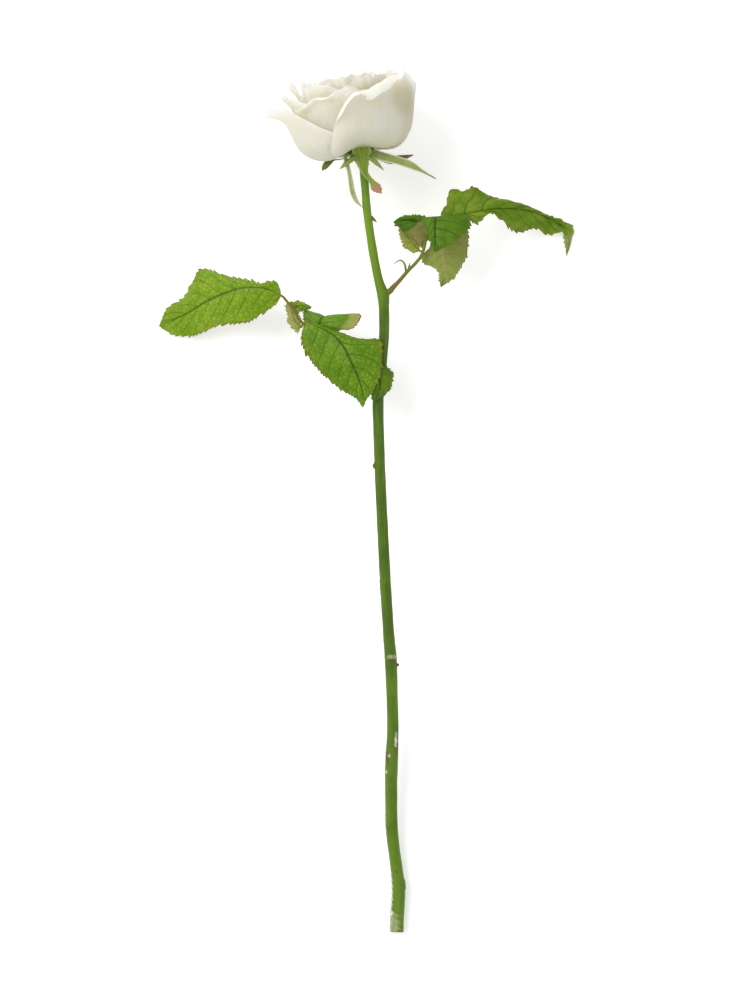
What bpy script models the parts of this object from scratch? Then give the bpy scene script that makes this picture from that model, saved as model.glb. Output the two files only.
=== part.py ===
"""A cut white garden rose, lying on a flat surface.

The stem runs along Y with its cut end at -Y, the bloom is at +Y and the surface is z = 0.
Every petal, sepal, leaflet and leaf stalk is its own solid. Shape values are in millimetres
and are turned into metres where the meshes are made.
"""

import math

import bmesh
import bpy
import numpy as np
from mathutils import Matrix, Vector

MM = 0.001
SLIVER = 0.00004  # metres, edges below this are closed up

# ---------------------------------------------------------------- driving dimensions
STEM_RADIUS = 3.0
NECK_RADIUS = 2.1
CUT_END_RADIUS = 3.7
LEAF_THICKNESS = 0.45
SEPAL_THICKNESS = 0.5
PETAL_THICKNESS = 0.4
RACHIS_RADIUS = 0.85

BLADE_END_WIDTH = 0.9  # of a leaflet or sepal where it is cut off square
LOBE_RADII = (0.55, 0.8, 0.6, 0.15)  # along a side lobe of the front sepal

BLOOM_BASE = (-2.6, 183.3, 37.35)  # top of the hip, where the petals start
BLOOM_LEAN = 10.5  # degrees, the bloom leans to -X
BLOOM_NOD = 2.5  # degrees, the bloom rises from the surface
CUP_RADIUS = 30.8  # of the outermost petals
NESTING = 0.85  # power by which the cup narrows with depth
LOPSIDED = 0.03  # the cup is fuller by this share on the side it leans to
LOPSIDED_AWAY = 70.0  # degrees, the azimuth where the cup is least full
BASE_SLOPE = -20.0  # degrees, the outermost petals hang at first
INNER_SLOPE = 60.0  # degrees, the innermost petals rise at once
ROUNDNESS = 0.9  # of the cup's bottom: 0 turns up early, 1 is a circular arc
SADDLE_LIFT = 5.2  # the petals' undersides rise by this where the front sepal spreads
SADDLE_WIDTH = 10.0
SADDLE_START = 4.0  # distance from the axis where the rise starts
SADDLE_REACH = 12.0  # and over which it grows
SADDLE_FADE = 27.0  # height at which it has faded out
PETAL_FLAT = 4.5  # length of the outermost petals' straight foot
HELD_FADE = 0.45  # share of a petal's width over which its roll ends, towards the next petal
EDGE_ROLL = 0.3  # share of the roll left at the petal's left edge
EDGE_REACH = 0.4  # and the share of its width over which the roll lessens there
FLARED_PART = (0.1, -0.5)  # across a flared petal: where the flare starts and where it is full
EDGE_FLARE_LOSS = 0.45  # share of the flare lost at its left edge
TUCK = 0.045  # depth by which a petal's right edge lies inside its left edge
HIP_TOP_RADIUS = 6.6
HIP_LENGTH = 10.5
SEAT_DOME = 6.4

# Centre line of the stem, from the cut end to the hip, and its radius there.
STEM_LINE = [
    ((16.6, -224.6, 3.75), 3.6),
    ((16.7, -216.0, 3.9), CUT_END_RADIUS),
    ((17.5, -203.0, 4.6), 3.6),
    ((16.6, -192.0, 5.4), 3.15),
    ((14.2, -172.0, 7.0), 3.1),
    ((13.7, -150.0, 8.9), 3.2),
    ((13.9, -136.0, 10.1), 3.35),
    ((14.5, -118.0, 11.6), STEM_RADIUS),
    ((14.0, -98.0, 13.2), STEM_RADIUS),
    ((13.4, -82.0, 14.4), 3.2),
    ((12.4, -70.0, 15.5), 2.95),
    ((11.0, -48.0, 17.3), 2.9),
    ((9.3, -16.0, 20.1), 2.85),
    ((8.0, 12.0, 22.5), 2.8),
    ((7.1, 38.0, 24.8), 2.8),
    ((6.9, 52.0, 26.1), 2.85),
    ((8.2, 66.0, 27.4), 2.7),
    ((9.9, 84.0, 29.1), 2.6),
    ((10.0, 99.0, 30.6), 2.75),
    ((9.2, 108.0, 31.4), 2.9),
    ((6.9, 116.0, 32.2), 2.35),
    ((4.0, 131.0, 33.7), 2.25),
    ((1.2, 150.0, 35.5), 2.15),
    ((0.1, 163.0, 36.3), NECK_RADIUS),
    ((-0.75, 172.65, 36.75), NECK_RADIUS),
]


# ---------------------------------------------------------------- general helpers
def clear_scene():
    for obj in list(bpy.data.objects):
        bpy.data.objects.remove(obj, do_unlink=True)


def make_material(name, colour, roughness):
    material = bpy.data.materials.new(name)
    material.use_nodes = True
    shader = material.node_tree.nodes["Principled BSDF"]
    shader.inputs["Base Color"].default_value = (*colour, 1.0)
    shader.inputs["Roughness"].default_value = roughness
    shader.inputs["Metallic"].default_value = 0.0
    return material


def eased(t):
    """0 below 0, 1 above 1, and a smooth S between them."""
    t = np.clip(t, 0.0, 1.0)
    return t * t * (3.0 - 2.0 * t)


def curve_through(points, fractions):
    """The smooth curve through the points, read at fractions of its own length."""
    knots = np.array(points, float)
    padded = np.vstack([2 * knots[0] - knots[1], knots, 2 * knots[-1] - knots[-2]])
    dense = []
    for i in range(len(knots) - 1):
        before, start, end, after = padded[i : i + 4]
        t = np.linspace(0.0, 1.0, 16, endpoint=False)[:, None]
        dense.append(
            0.5
            * (
                2 * start
                + (end - before) * t
                + (2 * before - 5 * start + 4 * end - after) * t**2
                + (3 * start - before - 3 * end + after) * t**3
            )
        )
    dense = np.vstack([*dense, knots[-1:]])
    steps = np.linalg.norm(np.diff(dense, axis=0), axis=1)
    length = np.concatenate([[0.0], np.cumsum(steps)])
    return np.stack([np.interp(fractions * length[-1], length, dense[:, k]) for k in range(3)], axis=1)


def put_in_scene(name, mesh, material, smooth=True):
    obj = bpy.data.objects.new(name, mesh)
    rose.objects.link(obj)
    mesh.materials.clear()
    mesh.materials.append(material)
    if smooth:
        mesh.shade_smooth()
    return obj


def sheet(name, points, thickness, material):
    """A thin solid: a grid laid on points[row][column] in mm, given its thickness by Solidify."""
    rows, columns, _ = points.shape
    mesh = bpy.data.meshes.new(name)
    grid = bmesh.new()
    bmesh.ops.create_grid(grid, x_segments=columns - 1, y_segments=rows - 1, size=1.0)
    for vertex in grid.verts:
        column = round((vertex.co.x + 1.0) / 2.0 * (columns - 1))
        row = round((vertex.co.y + 1.0) / 2.0 * (rows - 1))
        vertex.co = Vector(points[row, column]) * MM
    grid.to_mesh(mesh)
    grid.free()
    obj = put_in_scene(name, mesh, material)
    shell = obj.modifiers.new("thickness", "SOLIDIFY")
    shell.thickness = thickness * MM
    shell.offset = 0.0
    shell.use_even_offset = False
    return obj


def tube(name, line, radii, material, sides=8):
    """A round stalk along line, in mm, as one closed mesh made from a bevelled curve."""
    curve = bpy.data.curves.new(name, "CURVE")
    curve.dimensions = "3D"
    curve.bevel_depth = MM
    curve.bevel_resolution = sides // 4
    curve.use_fill_caps = True
    spline = curve.splines.new("POLY")
    spline.points.add(len(line) - 1)
    for point, place, radius in zip(spline.points, line, radii, strict=True):
        point.co = (*(Vector(place) * MM), 1.0)
        point.radius = radius
    guide = bpy.data.objects.new(name + "_guide", curve)
    rose.objects.link(guide)
    bpy.context.view_layer.update()
    evaluated = guide.evaluated_get(bpy.context.evaluated_depsgraph_get())
    mesh = bpy.data.meshes.new_from_object(evaluated)
    bpy.data.objects.remove(guide, do_unlink=True)
    welded = bmesh.new()
    welded.from_mesh(mesh)
    bmesh.ops.remove_doubles(welded, verts=welded.verts, dist=0.00002)
    welded.to_mesh(mesh)
    welded.free()
    return put_in_scene(name, mesh, material)


def turned(name, profile, material, steps=16):
    """A solid of revolution about local Z, from a profile of (radius, height) in mm, top to bottom."""
    mesh = bpy.data.meshes.new(name)
    mesh.from_pydata(
        [(radius * MM, 0.0, height * MM) for radius, height in profile],
        [(i, i + 1) for i in range(len(profile) - 1)],
        [],
    )
    obj = put_in_scene(name, mesh, material, smooth=False)
    screw = obj.modifiers.new("turn", "SCREW")
    screw.steps = steps
    screw.render_steps = steps
    screw.use_merge_vertices = True
    screw.merge_threshold = 0.00001
    screw.use_smooth_shade = True
    return obj


def cone(name, start, end, start_radius, end_radius, material):
    """A short cone from start to end, in mm."""
    start, end = Vector(start), Vector(end)
    mesh = bpy.data.meshes.new(name)
    shape = bmesh.new()
    bmesh.ops.create_cone(
        shape,
        cap_ends=True,
        segments=8,
        radius1=start_radius * MM,
        radius2=end_radius * MM,
        depth=(end - start).length * MM,
    )
    shape.to_mesh(mesh)
    shape.free()
    obj = put_in_scene(name, mesh, material)
    obj.rotation_mode = "QUATERNION"
    obj.rotation_quaternion = (end - start).to_track_quat("Z", "Y")
    obj.location = (start + end) / 2 * MM
    return obj


def solid_mesh(obj):
    """Turn the object's live modifiers into its mesh."""
    bpy.context.view_layer.update()
    evaluated = obj.evaluated_get(bpy.context.evaluated_depsgraph_get())
    solid = bpy.data.meshes.new_from_object(evaluated)
    obj.modifiers.clear()
    obj.data = solid


def join_solids(obj, others):
    """Boolean union of obj with the others, which are then removed, without its slivers."""
    for other in others:
        union = obj.modifiers.new("join_" + other.name, "BOOLEAN")
        union.operation = "UNION"
        union.object = other
        solid_mesh(obj)
        bpy.data.objects.remove(other, do_unlink=True)
    clean = bmesh.new()
    clean.from_mesh(obj.data)
    bmesh.ops.triangulate(clean, faces=clean.faces)
    bmesh.ops.dissolve_degenerate(clean, dist=SLIVER, edges=clean.edges)
    bmesh.ops.triangulate(clean, faces=clean.faces)
    clean.to_mesh(obj.data)
    clean.free()


# ---------------------------------------------------------------- the bloom
def bloom_frame():
    """Local +Z along the bloom's axis, local +Y to the upper side that faces away from the surface."""
    lean, nod = math.radians(BLOOM_LEAN), math.radians(BLOOM_NOD)
    axis = Vector((-math.sin(lean) * math.cos(nod), math.cos(lean) * math.cos(nod), math.sin(nod)))
    side = axis.cross(Vector((0.0, 0.0, 1.0))).normalized()
    upper = side.cross(axis)
    return np.array([side, upper, axis]).T


def receptacle(depth):
    """Radius and height of the petals' seat on the domed receptacle: depth 0 outermost, 1 innermost."""
    return HIP_TOP_RADIUS + 0.4 - 5.3 * depth, SEAT_DOME * depth


def turned_by(share):
    """How far a path has turned from its base slope to its wall slope, 0 to 1."""
    return (1.0 - ROUNDNESS) * np.sin(math.pi / 2 * share) + ROUNDNESS * share


def saddle(local):
    """Lift the petals' undersides at the front, where the calyx spreads over them."""
    side, upper, height = local[..., 0], local[..., 1], local[..., 2]
    lift = SADDLE_LIFT * np.exp(-((side / SADDLE_WIDTH) ** 2)) * eased((upper - SADDLE_START) / SADDLE_REACH)
    return np.stack([side, upper, height + lift * (1.0 - eased(height / SADDLE_FADE))], axis=-1)


def petal_points(petal, columns, rows):
    """Grid of a petal. Every column is a path up the cup: it leaves the receptacle at the base
    slope, bends up to the wall slope and rolls outwards near its end. The paths nest by depth,
    and a petal's right edge lies deeper than its left edge, so that neighbours shingle."""
    steps = 96
    u = np.asarray(columns, float)[None, :]
    v = np.linspace(0.0, 1.0, steps + 1)[:, None]
    depth = petal["depth"] + TUCK * u
    seat_radius, seat_height = receptacle(depth)
    base_slope = np.radians(BASE_SLOPE + (INNER_SLOPE - BASE_SLOPE) * depth)
    wall_slope = math.radians(petal["wall"])
    wall_radius = CUP_RADIUS * (1.0 - depth) ** NESTING + petal["swell"]
    flat = PETAL_FLAT * (1.0 - depth)
    turn = np.linspace(0.0, 1.0, 60)[:, None]
    turning = base_slope + (wall_slope - base_slope) * turned_by(turn)
    bend = np.maximum(
        3.0, (wall_radius - seat_radius - flat * np.cos(base_slope)) / np.cos(turning).mean(axis=0)
    )
    low = seat_height + flat * np.sin(base_slope) + bend * np.sin(turning).mean(axis=0)
    length = flat + bend + np.maximum(2.0, (petal["height"] - low) / np.sin(wall_slope))

    end = length * (1.0 - petal["corner"] * np.abs(u) ** petal["round"] + petal["slant"] * u)
    s = v * end
    slope = base_slope + (wall_slope - base_slope) * turned_by(np.clip((s - flat) / bend, 0, 1))
    free = 1.0 - eased((u - petal["held"]) / HELD_FADE)
    free = free * (EDGE_ROLL + (1.0 - EDGE_ROLL) * eased((u + 1.0) / EDGE_REACH))
    start, peak = FLARED_PART
    lifted = eased((start - u) / (start - peak)) * (1.0 - EDGE_FLARE_LOSS * eased((peak - u) / (1.0 + peak)))
    for amount, reach in (
        (petal["flare"] * lifted, petal["flare_length"]),
        (petal["roll"] * free, petal["roll_length"]),
    ):
        slope = slope - np.radians(amount) * eased((s - end + reach) / reach)
    stride = end / steps
    radius = seat_radius + np.cumsum(np.cos(slope) * stride, axis=0) - np.cos(slope[0]) * stride
    height = seat_height + np.cumsum(np.sin(slope) * stride, axis=0) - np.sin(slope[0]) * stride
    share = s / length
    spread = petal["claw"] + (petal["half_width"] - petal["claw"]) * np.sin(
        math.pi / 2 * np.clip(share / petal["full"], 0, 1)
    )
    spread = spread * (1.0 - petal["narrow"] * eased((v - 0.55) / 0.45))
    wave = petal["ruffle"] * np.sin(petal["waves"] * math.pi * u + petal["phase"])
    radius = radius + wave * eased((v - 0.45) / 0.55)
    azimuth = np.radians(petal["azimuth"] + petal["twist"] * v**1.5) + u * spread / np.maximum(radius, 1.5)
    radius = radius * (1.0 - LOPSIDED * eased(share / 0.4) * np.cos(azimuth - math.radians(LOPSIDED_AWAY)))
    keep = np.round(np.asarray(rows) * steps).astype(int)
    radius, height, azimuth = radius[keep], height[keep], azimuth[keep]
    local = np.stack([radius * np.sin(azimuth), radius * np.cos(azimuth), height], axis=2)
    return saddle(local) @ bloom_frame().T + np.array(BLOOM_BASE)


def petal_spec(azimuth, height, depth, **changes):
    """One petal's shape values; azimuth 0 faces up from the surface, 90 faces +X."""
    spec = {
        "azimuth": azimuth,
        "height": height,
        "depth": depth,
        "swell": 0.0,
        "wall": 75.0,
        "half_width": 26.0,
        "claw": 2.4,
        "full": 0.5,
        "twist": 0.0,
        "corner": 0.24,
        "round": 2.4,
        "slant": 0.0,
        "narrow": 0.1,
        "flare": 0.0,
        "flare_length": 20.0,
        "roll": 0.0,
        "roll_length": 7.0,
        "held": 0.2,
        "ruffle": 0.0,
        "waves": 1.0,
        "phase": 0.0,
    }
    spec.update(changes)
    return spec


GUARD_PETALS = [
    petal_spec(43.0, 36.3, 0.0, half_width=37.8, full=0.45, narrow=0.04, corner=0.4, round=5.5, slant=-0.13,
               roll=160.0, roll_length=12.0, held=-0.25, wall=72.5, swell=0.3),
    petal_spec(151.0, 31.0, 0.0, roll=40.0, half_width=20.0, claw=2.0, swell=-0.9),
    petal_spec(197.0, 31.0, 0.0, roll=25.0, half_width=22.0, claw=1.8, swell=-0.15),
    petal_spec(-113.5, 27.0, 0.0, roll=40.0, half_width=23.0, claw=1.7),
    petal_spec(-48.0, 25.5, 0.0, half_width=25.0, claw=2.0, full=0.55, narrow=0.0, twist=-22.0, corner=0.1,
               slant=-0.28, flare=68.0, flare_length=20.0, roll=25.0, roll_length=4.0),
]
# Inner whorls: petals in it, half width, height and first azimuth.
WHORLS = [
    (6, 21.5, 31.3, -30.0),
    (6, 18.0, 36.5, 20.0),
    (6, 15.0, 38.0, -8.0),
    (6, 11.5, 38.0, 27.0),
    (5, 9.4, 37.0, 5.0),
    (4, 6.2, 35.0, -30.0),
]


def whorl_petal(whorl, number):
    """Petal of an inner whorl; the deeper whorls are narrower, more ruffled and less rolled."""
    count, half_width, height, first = WHORLS[whorl]
    depth = (whorl + 1) / (len(WHORLS) + 1)
    azimuth = first + 360.0 / count * number
    return petal_spec(
        azimuth,
        height + (1.4 * math.sin(2.3 * number + whorl) if whorl else 2.6 * math.sin(math.radians(azimuth))),
        depth,
        wall=75.0 + 13.0 * depth,
        half_width=half_width,
        claw=2.2 - 1.2 * depth,
        corner=0.14 if whorl else 0.08,
        narrow=0.16 if whorl else 0.05,
        ruffle=0.0 if whorl == 0 else 0.4,
        waves=2.0,
        phase=1.7 * number + whorl,
        roll=14.0 if whorl else 58.0,
        roll_length=6.0,
    )


def make_petals():
    rows_large = (0.0, 0.12, 0.25, 0.38, 0.52, 0.66, 0.77, 0.85, 0.92, 0.96, 1.0)
    rows_small = (0.0, 0.16, 0.34, 0.54, 0.76, 1.0)
    for number, petal in enumerate(GUARD_PETALS, 1):
        points = petal_points(petal, np.linspace(-1, 1, 13), rows_large)
        sheet(f"guard_petal_{number}", points, PETAL_THICKNESS, materials["petal"])
    for whorl, (count, *_) in enumerate(WHORLS):
        rows = rows_large if whorl == 0 else rows_small
        for number in range(count):
            columns = np.linspace(-1, 1, 7 if whorl else 9)
            points = petal_points(whorl_petal(whorl, number), columns, rows)
            sheet(f"whorl_{whorl + 1}_petal_{number + 1}", points, PETAL_THICKNESS, materials["petal"])


def make_hip():
    """The hip: a green cone under the petals with the domed receptacle on top of it."""
    seat = [receptacle(depth) for depth in (1.0, 0.8, 0.6, 0.4, 0.2, 0.0)]
    dome = [(max(radius - 0.9, 0.3), height - 0.9) for radius, height in seat]
    profile = [
        (0.0, dome[0][1] + 0.2),
        *dome,
        (HIP_TOP_RADIUS - 0.5, -2.0),
        (5.3, -3.6),
        (4.0, -5.8),
        (2.9, -8.0),
        (2.3, -HIP_LENGTH),
        (0.0, -HIP_LENGTH),
    ]
    hip = turned("hip", profile, materials["stem"])
    hip.matrix_world = Matrix.Translation(Vector(BLOOM_BASE) * MM) @ Matrix(bloom_frame()).to_4x4()


def make_stamens():
    """The stamens and styles, as one tuft on the receptacle inside the innermost petals."""
    low = receptacle(1.0)[1] - 0.4
    profile = [
        (0.0, low + 7.5),
        (0.9, low + 7.1),
        (1.25, low + 5.6),
        (0.8, low + 2.5),
        (0.7, low),
        (0.0, low),
    ]
    tuft = turned("stamens", profile, materials["stamen"], steps=10)
    tuft.matrix_world = Matrix.Translation(Vector(BLOOM_BASE) * MM) @ Matrix(bloom_frame()).to_4x4()


# ---------------------------------------------------------------- the leaves and sepals
# A leaflet or sepal is three smooth curves that meet at its base and its tip: the midrib and
# the margins left and right of it, with the arch of each half. Left is seen from the base.
LEFT_LEAF = {
    "terminal": {
        "base": (-43.5, 107.0, 27.6),
        "mid": [(-49, 109.8, 28.6), (-57, 111.5, 28), (-67, 110.5, 24.5), (-81, 104.8, 16), (-95, 97, 6.5)],
        "left": [(-46.8, 102.4, 27), (-54, 97.9, 25), (-62, 93.5, 22), (-75, 92.5, 15.5), (-88, 87.5, 8),
                 (-99, 87.1, 2.6)],
        "right": [(-45.4, 113, 28), (-50, 114.3, 28.6), (-54.2, 113, 28), (-61, 114.8, 26.6),
                  (-72, 117, 22.5), (-85, 120.7, 15.5), (-90, 113.5, 11), (-95, 105.5, 6),
                  (-102.6, 101, 2.5)],
        "tip": (-107.5, 91.6, 0.35),
    },
    "right_upper": {
        "base": (-30.6, 93.7, 30.3),
        "mid": [(-23.4, 90.5, 32.8), (-16, 86.3, 34.6), (-11, 80.3, 35.8), (-7, 72, 36.6), (-3.4, 64, 36.3),
                (-1, 56, 35)],
        "left": [(-24, 91.8, 31.4), (-15, 88.4, 33), (-4, 84.6, 34.2), (7.3, 83.5, 34.6), (8.6, 76.2, 34.8),
                 (7.9, 67, 34.6), (4.3, 58, 34.2), (0.6, 53, 33.6)],
        "right": [(-32.4, 88, 30), (-32.5, 82.6, 29.8), (-28.5, 74.4, 30), (-22, 67, 30.4),
                  (-13, 59, 31.4), (-5, 54.2, 32.4)],
        "tip": (-1.1, 48.9, 33),
    },
    "left_upper": {
        "base": (-33.4, 90.6, 26.6),
        "mid": [(-36.3, 94, 26), (-37.4, 98.6, 25.6), (-34.4, 101.6, 26)],
        "left": [(-35, 88.2, 26.2), (-38.4, 91.6, 25.4), (-39.8, 97, 24.8), (-40.4, 101.9, 24.6),
                 (-34.6, 103.9, 25.2)],
        "right": [(-34.2, 94.4, 26.6), (-34.9, 97.6, 26.4), (-33.0, 99.2, 26.8)],
        "tip": (-27.8, 101.1, 26.9),
    },
    "left_lower": {
        "base": (-22.6, 83.6, 27.4),
        "mid": [(-23.9, 87.6, 27), (-23.6, 92.8, 29.4), (-21.9, 95.9, 28), (-20.8, 96, 22)],
        "left": [(-27, 86.8, 26.2), (-30.8, 93.5, 25.9), (-31.3, 98.8, 25.6), (-26.5, 98.2, 21)],
        "right": [(-18.5, 85.8, 27.4), (-13, 89.2, 30), (-8.2, 89.4, 32), (-3.4, 93.4, 32.4),
                  (-3, 97.2, 29.6), (-10, 97.5, 24), (-16.5, 96.2, 18)],
        "tip": (-20.0, 93.5, 14.0),
    },
    "right_lower": {
        "base": (-0.8, 69.8, 32.6),
        "mid": [(3.8, 67, 32.8), (7.6, 62.5, 32.4), (7.4, 57, 31.8)],
        "left": [(3.6, 71.4, 32.4), (8.3, 71, 32), (13.8, 66.6, 30.2), (13.6, 61, 30), (11, 56.2, 30.6),
                 (7.3, 54, 30.9)],
        "right": [(-0.6, 65.6, 32.4), (1.6, 60.6, 32.2), (3.6, 56.2, 31.8)],
        "tip": (4.3, 52.2, 31.2),
    },
}
RIGHT_LEAF = {
    "terminal": {
        "base": (42.4, 146.5, 30.4),
        "mid": [(47, 148.3, 30), (53, 149.5, 29), (65.3, 151.6, 25.4), (79.6, 152.3, 18.7),
                (90, 150.2, 12.6), (99.5, 145.8, 6.6), (104.6, 142.2, 3), (106.2, 136, 1.3)],
        "left": [(39.4, 149.1, 31.2), (42.4, 154, 32), (44.4, 161, 32.8), (52, 161, 31.2), (57, 163, 29.4),
                 (66, 158.4, 24.6), (82.7, 154.6, 17), (94, 149.6, 9.2), (107.4, 143.8, 2.6),
                 (107.7, 137, 1.4)],
        "right": [(45, 145, 30), (53, 147, 28.2), (58, 145, 26.4), (65.2, 150.2, 24.6), (71, 147, 21.6),
                  (79, 140.7, 16), (89, 142.6, 10.6), (96, 139.5, 6.8), (103, 140.6, 2.6),
                  (104.6, 134, 1.1)],
        "tip": (105.2, 128.2, 0.35),
    },
    "left_upper": {
        "base": (37.4, 144.6, 34.8),
        "mid": [(37.4, 147, 35.8), (36.5, 147.6, 38.4), (36.2, 143, 41.6), (36.2, 136, 42.6)],
        "left": [(33.8, 146.6, 35.6), (30.6, 146.6, 37.4), (31.6, 143.2, 39.4), (33, 138.6, 41.2),
                 (35, 132.6, 41.6)],
        "right": [(45, 148, 34), (52.4, 149.2, 33.8), (54.3, 146, 36.2), (53.4, 141.6, 38.6),
                  (47.4, 136, 41.2), (41, 132, 41.8)],
        "tip": (36.2, 129.3, 41.2),
    },
    "right_upper": {
        "base": (36.4, 140.4, 30.9),
        "mid": [(38.6, 136, 30.9), (39.4, 130.8, 30), (40.6, 124.5, 28.6), (41.0, 118, 27.2)],
        "left": [(35.2, 137, 30.6), (34, 132, 30.2), (30.2, 128.4, 29.8), (30.6, 124.2, 29.2),
                 (36, 121.6, 28.2), (38.6, 118.6, 27.2), (38.9, 114.6, 26.4)],
        "right": [(44, 142.6, 30.2), (52.4, 140.4, 28.6), (53.2, 133, 27.4), (51.6, 125.6, 26.6),
                  (46, 116.6, 25.8)],
        "tip": (39.5, 111.4, 25.4),
    },
    "left_lower": {
        "base": (29.2, 132.4, 31.2),
        "mid": [(31, 137.6, 30.4), (30.4, 142.6, 30.8), (25.6, 145.8, 32), (20, 146.2, 33)],
        "left": [(26, 136.2, 30.8), (21.8, 139.9, 31.2), (18, 142.8, 32.2)],
        "right": [(32.6, 136.5, 30), (34.2, 142, 29.8), (33.2, 147, 31.4), (26.5, 148.4, 33.6),
                  (20, 148, 34.2)],
        "tip": (14.8, 145.3, 33.6),
    },
    "right_lower": {
        "base": (28.3, 130.2, 31.2),
        "mid": [(25.2, 133.4, 28.8), (21.9, 137.6, 26.4)],
        "left": [(25.6, 129.8, 30), (21, 132.4, 28), (18.6, 138, 25.8)],
        "right": [(27.4, 135.2, 27.6), (25.6, 140.4, 25), (21.6, 143.6, 24)],
        "tip": (18.0, 142.8, 24.2),
    },
}
LEFT_RACHIS = [(4.9, 66.4, 29.4), (0, 69.6, 31.0), (-8, 76.4, 31.0), (-18, 83.6, 29.6), (-26, 88.6, 28.8),
               (-31.5, 91.8, 28.5), (-35, 96, 28.5), (-38, 100.8, 28.2), (-42.4, 106.2, 27.6)]
RIGHT_RACHIS = [(13.1, 109.5, 31.8), (14.6, 111.3, 32.3), (17.9, 114.7, 33), (22.4, 119.9, 33.5),
                (26, 123.5, 33.6), (28.9, 127.1, 33.5), (30.6, 131.6, 33.3), (32.2, 138, 33.2),
                (36.4, 143, 33), (41.3, 146, 30.9)]
RIGHT_STIPULES = [
    [(21.2, 118.6, 33.4), (20.9, 121.9, 34.2), (19.9, 124.3, 34.6), (17.9, 125.2, 34.8), (14.6, 123.1, 34.6)],
    [(22.6, 120.2, 33.6), (23.1, 123.9, 34.4)],
]
# Sepal points are measured from the middle of the hip's top.
SEPALS = {
    "right": {
        "base": (7.5, -2.7, 0),
        "mid": [(13, -4.5, 0.4), (19.9, -6.5, -0.2), (27, -8.9, -1.6), (32.6, -11.9, -3.2)],
        "left": [(12, -1.9, -0.6), (20.2, -4.3, -1.2), (27.2, -6.7, -2), (32.8, -11.1, -3.4)],
        "right": [(11.2, -6.7, 0), (19, -8.4, -0.4), (27, -11.1, -1.6), (32.4, -12.7, -3.4)],
        "tip": (39.7, -15.8, -5),
    },
    "left": {
        "base": (-6.4, -2.8, 3.2),
        "base_width": 2.2,
        "mid": [(-7.3, -3.9, 3.9), (-7.2, -6.6, 4.4), (-6.1, -10.2, 4.1), (-5.1, -15.5, 3.7),
                (-3.9, -22.5, 3), (-1.6, -27.8, 2.4)],
        "left": [(-6.2, -4.6, 4.2), (-6, -6.8, 4.5), (-5.1, -10.4, 4.1), (-3.9, -15.5, 3.6),
                 (-2.4, -22.5, 2.8), (-0.4, -27.6, 2.4)],
        "right": [(-8.5, -3.9, 3.5), (-8.3, -7, 3.9), (-7.2, -10, 3.9), (-6.3, -15.5, 3.7),
                  (-5.5, -22.5, 3.1), (-3.3, -27.4, 2.4)],
        "tip": (1.5, -31, 2),
    },
    "front": {
        "base": (0.9, -0.4, 8.4),
        "base_width": 6.4,
        "mid": [(1, -2.7, 7.7), (1.4, -5.9, 5.8), (2.4, -10.9, 3.5), (3.8, -14.7, 3), (6.8, -18.9, 4)],
        "left": [(5.6, -1.9, 7.2), (4.9, -4.1, 6.2), (4.3, -8.1, 4.4), (4.4, -13.3, 3.3), (7.2, -16.7, 3.8),
                 (10.6, -19.7, 4.4)],
        "right": [(-3.5, -2.1, 6.9), (-2.7, -3.9, 6), (-1.4, -7.9, 4.2), (1.4, -13.3, 3), (5.2, -17.9, 3.4),
                  (6.2, -21.7, 4.2)],
        "tip": (11.2, -23.7, 5),
    },
    "back_left": {
        "base": (-4.8, -3.6, -5),
        "mid": [(-9, -5.1, -6.2), (-13.2, -5.8, -7), (-16.2, -7, -7.3), (-18.2, -9.2, -7.4)],
        "left": [(-9, -5.4, -4.4), (-13, -6.2, -5.2), (-15, -8.2, -6.6), (-17.2, -10.4, -7.2)],
        "right": [(-9.2, -5.3, -8.6), (-13.6, -5.8, -9), (-17.6, -6.1, -8), (-19.6, -8.6, -7.6)],
        "tip": (-19.8, -11.4, -7.6),
    },
    "back_right": {
        "base": (5, -2.7, -6),
        "mid": [(10.6, -4.5, -8.6), (16.6, -5.7, -10.6), (22.6, -4.3, -11.6)],
        "left": [(10.2, -2.3, -9), (16.6, -3.5, -10.8), (22.6, -3.1, -11.6)],
        "right": [(11, -6.5, -8.2), (16.6, -7.9, -10.2), (23, -5.7, -11.4)],
        "tip": (28, -3, -12),
    },
}
FRONT_LOBES = [
    [(-1.2, -4.4, 6.0), (-4.4, -6, 6.3), (-7.4, -8.3, 5.9), (-10.6, -10.9, 5.2)],
    [(3.4, -4.4, 6.0), (7.6, -6.9, 5.6), (12.4, -11.5, 4.8)],
]


def blade_points(blade, rows, columns, arch):
    """Grid of a leaflet: rows run from base to tip, columns from the left to the right margin."""
    t = np.linspace(0.0, 1.0, rows)
    lines = [
        curve_through([blade["base"], *blade[name], blade["tip"]], t) for name in ("left", "mid", "right")
    ]
    u = np.linspace(-1.0, 1.0, columns)
    points = np.empty((rows, columns, 3))
    for column, across in enumerate(u):
        margin = lines[0] if across < 0 else lines[2]
        points[:, column] = lines[1] + abs(across) * (margin - lines[1])
        points[:, column, 2] += arch * 4 * abs(across) * (1 - abs(across)) * np.sin(math.pi * t)
    return points


def blade(name, shape, material, thickness, rows=11, columns=5, arch=0.8):
    """A leaflet or sepal; its base and tip are cut off square so that they keep some width."""
    points = blade_points(shape, rows, columns, arch)
    middle = columns // 2
    across = np.linspace(-0.5, 0.5, columns)[:, None]
    ends = ((0, 1, shape.get("base_width", BLADE_END_WIDTH)), (-1, -2, BLADE_END_WIDTH))
    for row, neighbour, end_width in ends:
        width = points[neighbour, -1] - points[neighbour, 0]
        width = width / max(np.linalg.norm(width), 0.1) * end_width
        points[row] = points[row, middle] + across * width
    return sheet(name, points, thickness, material)


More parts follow.
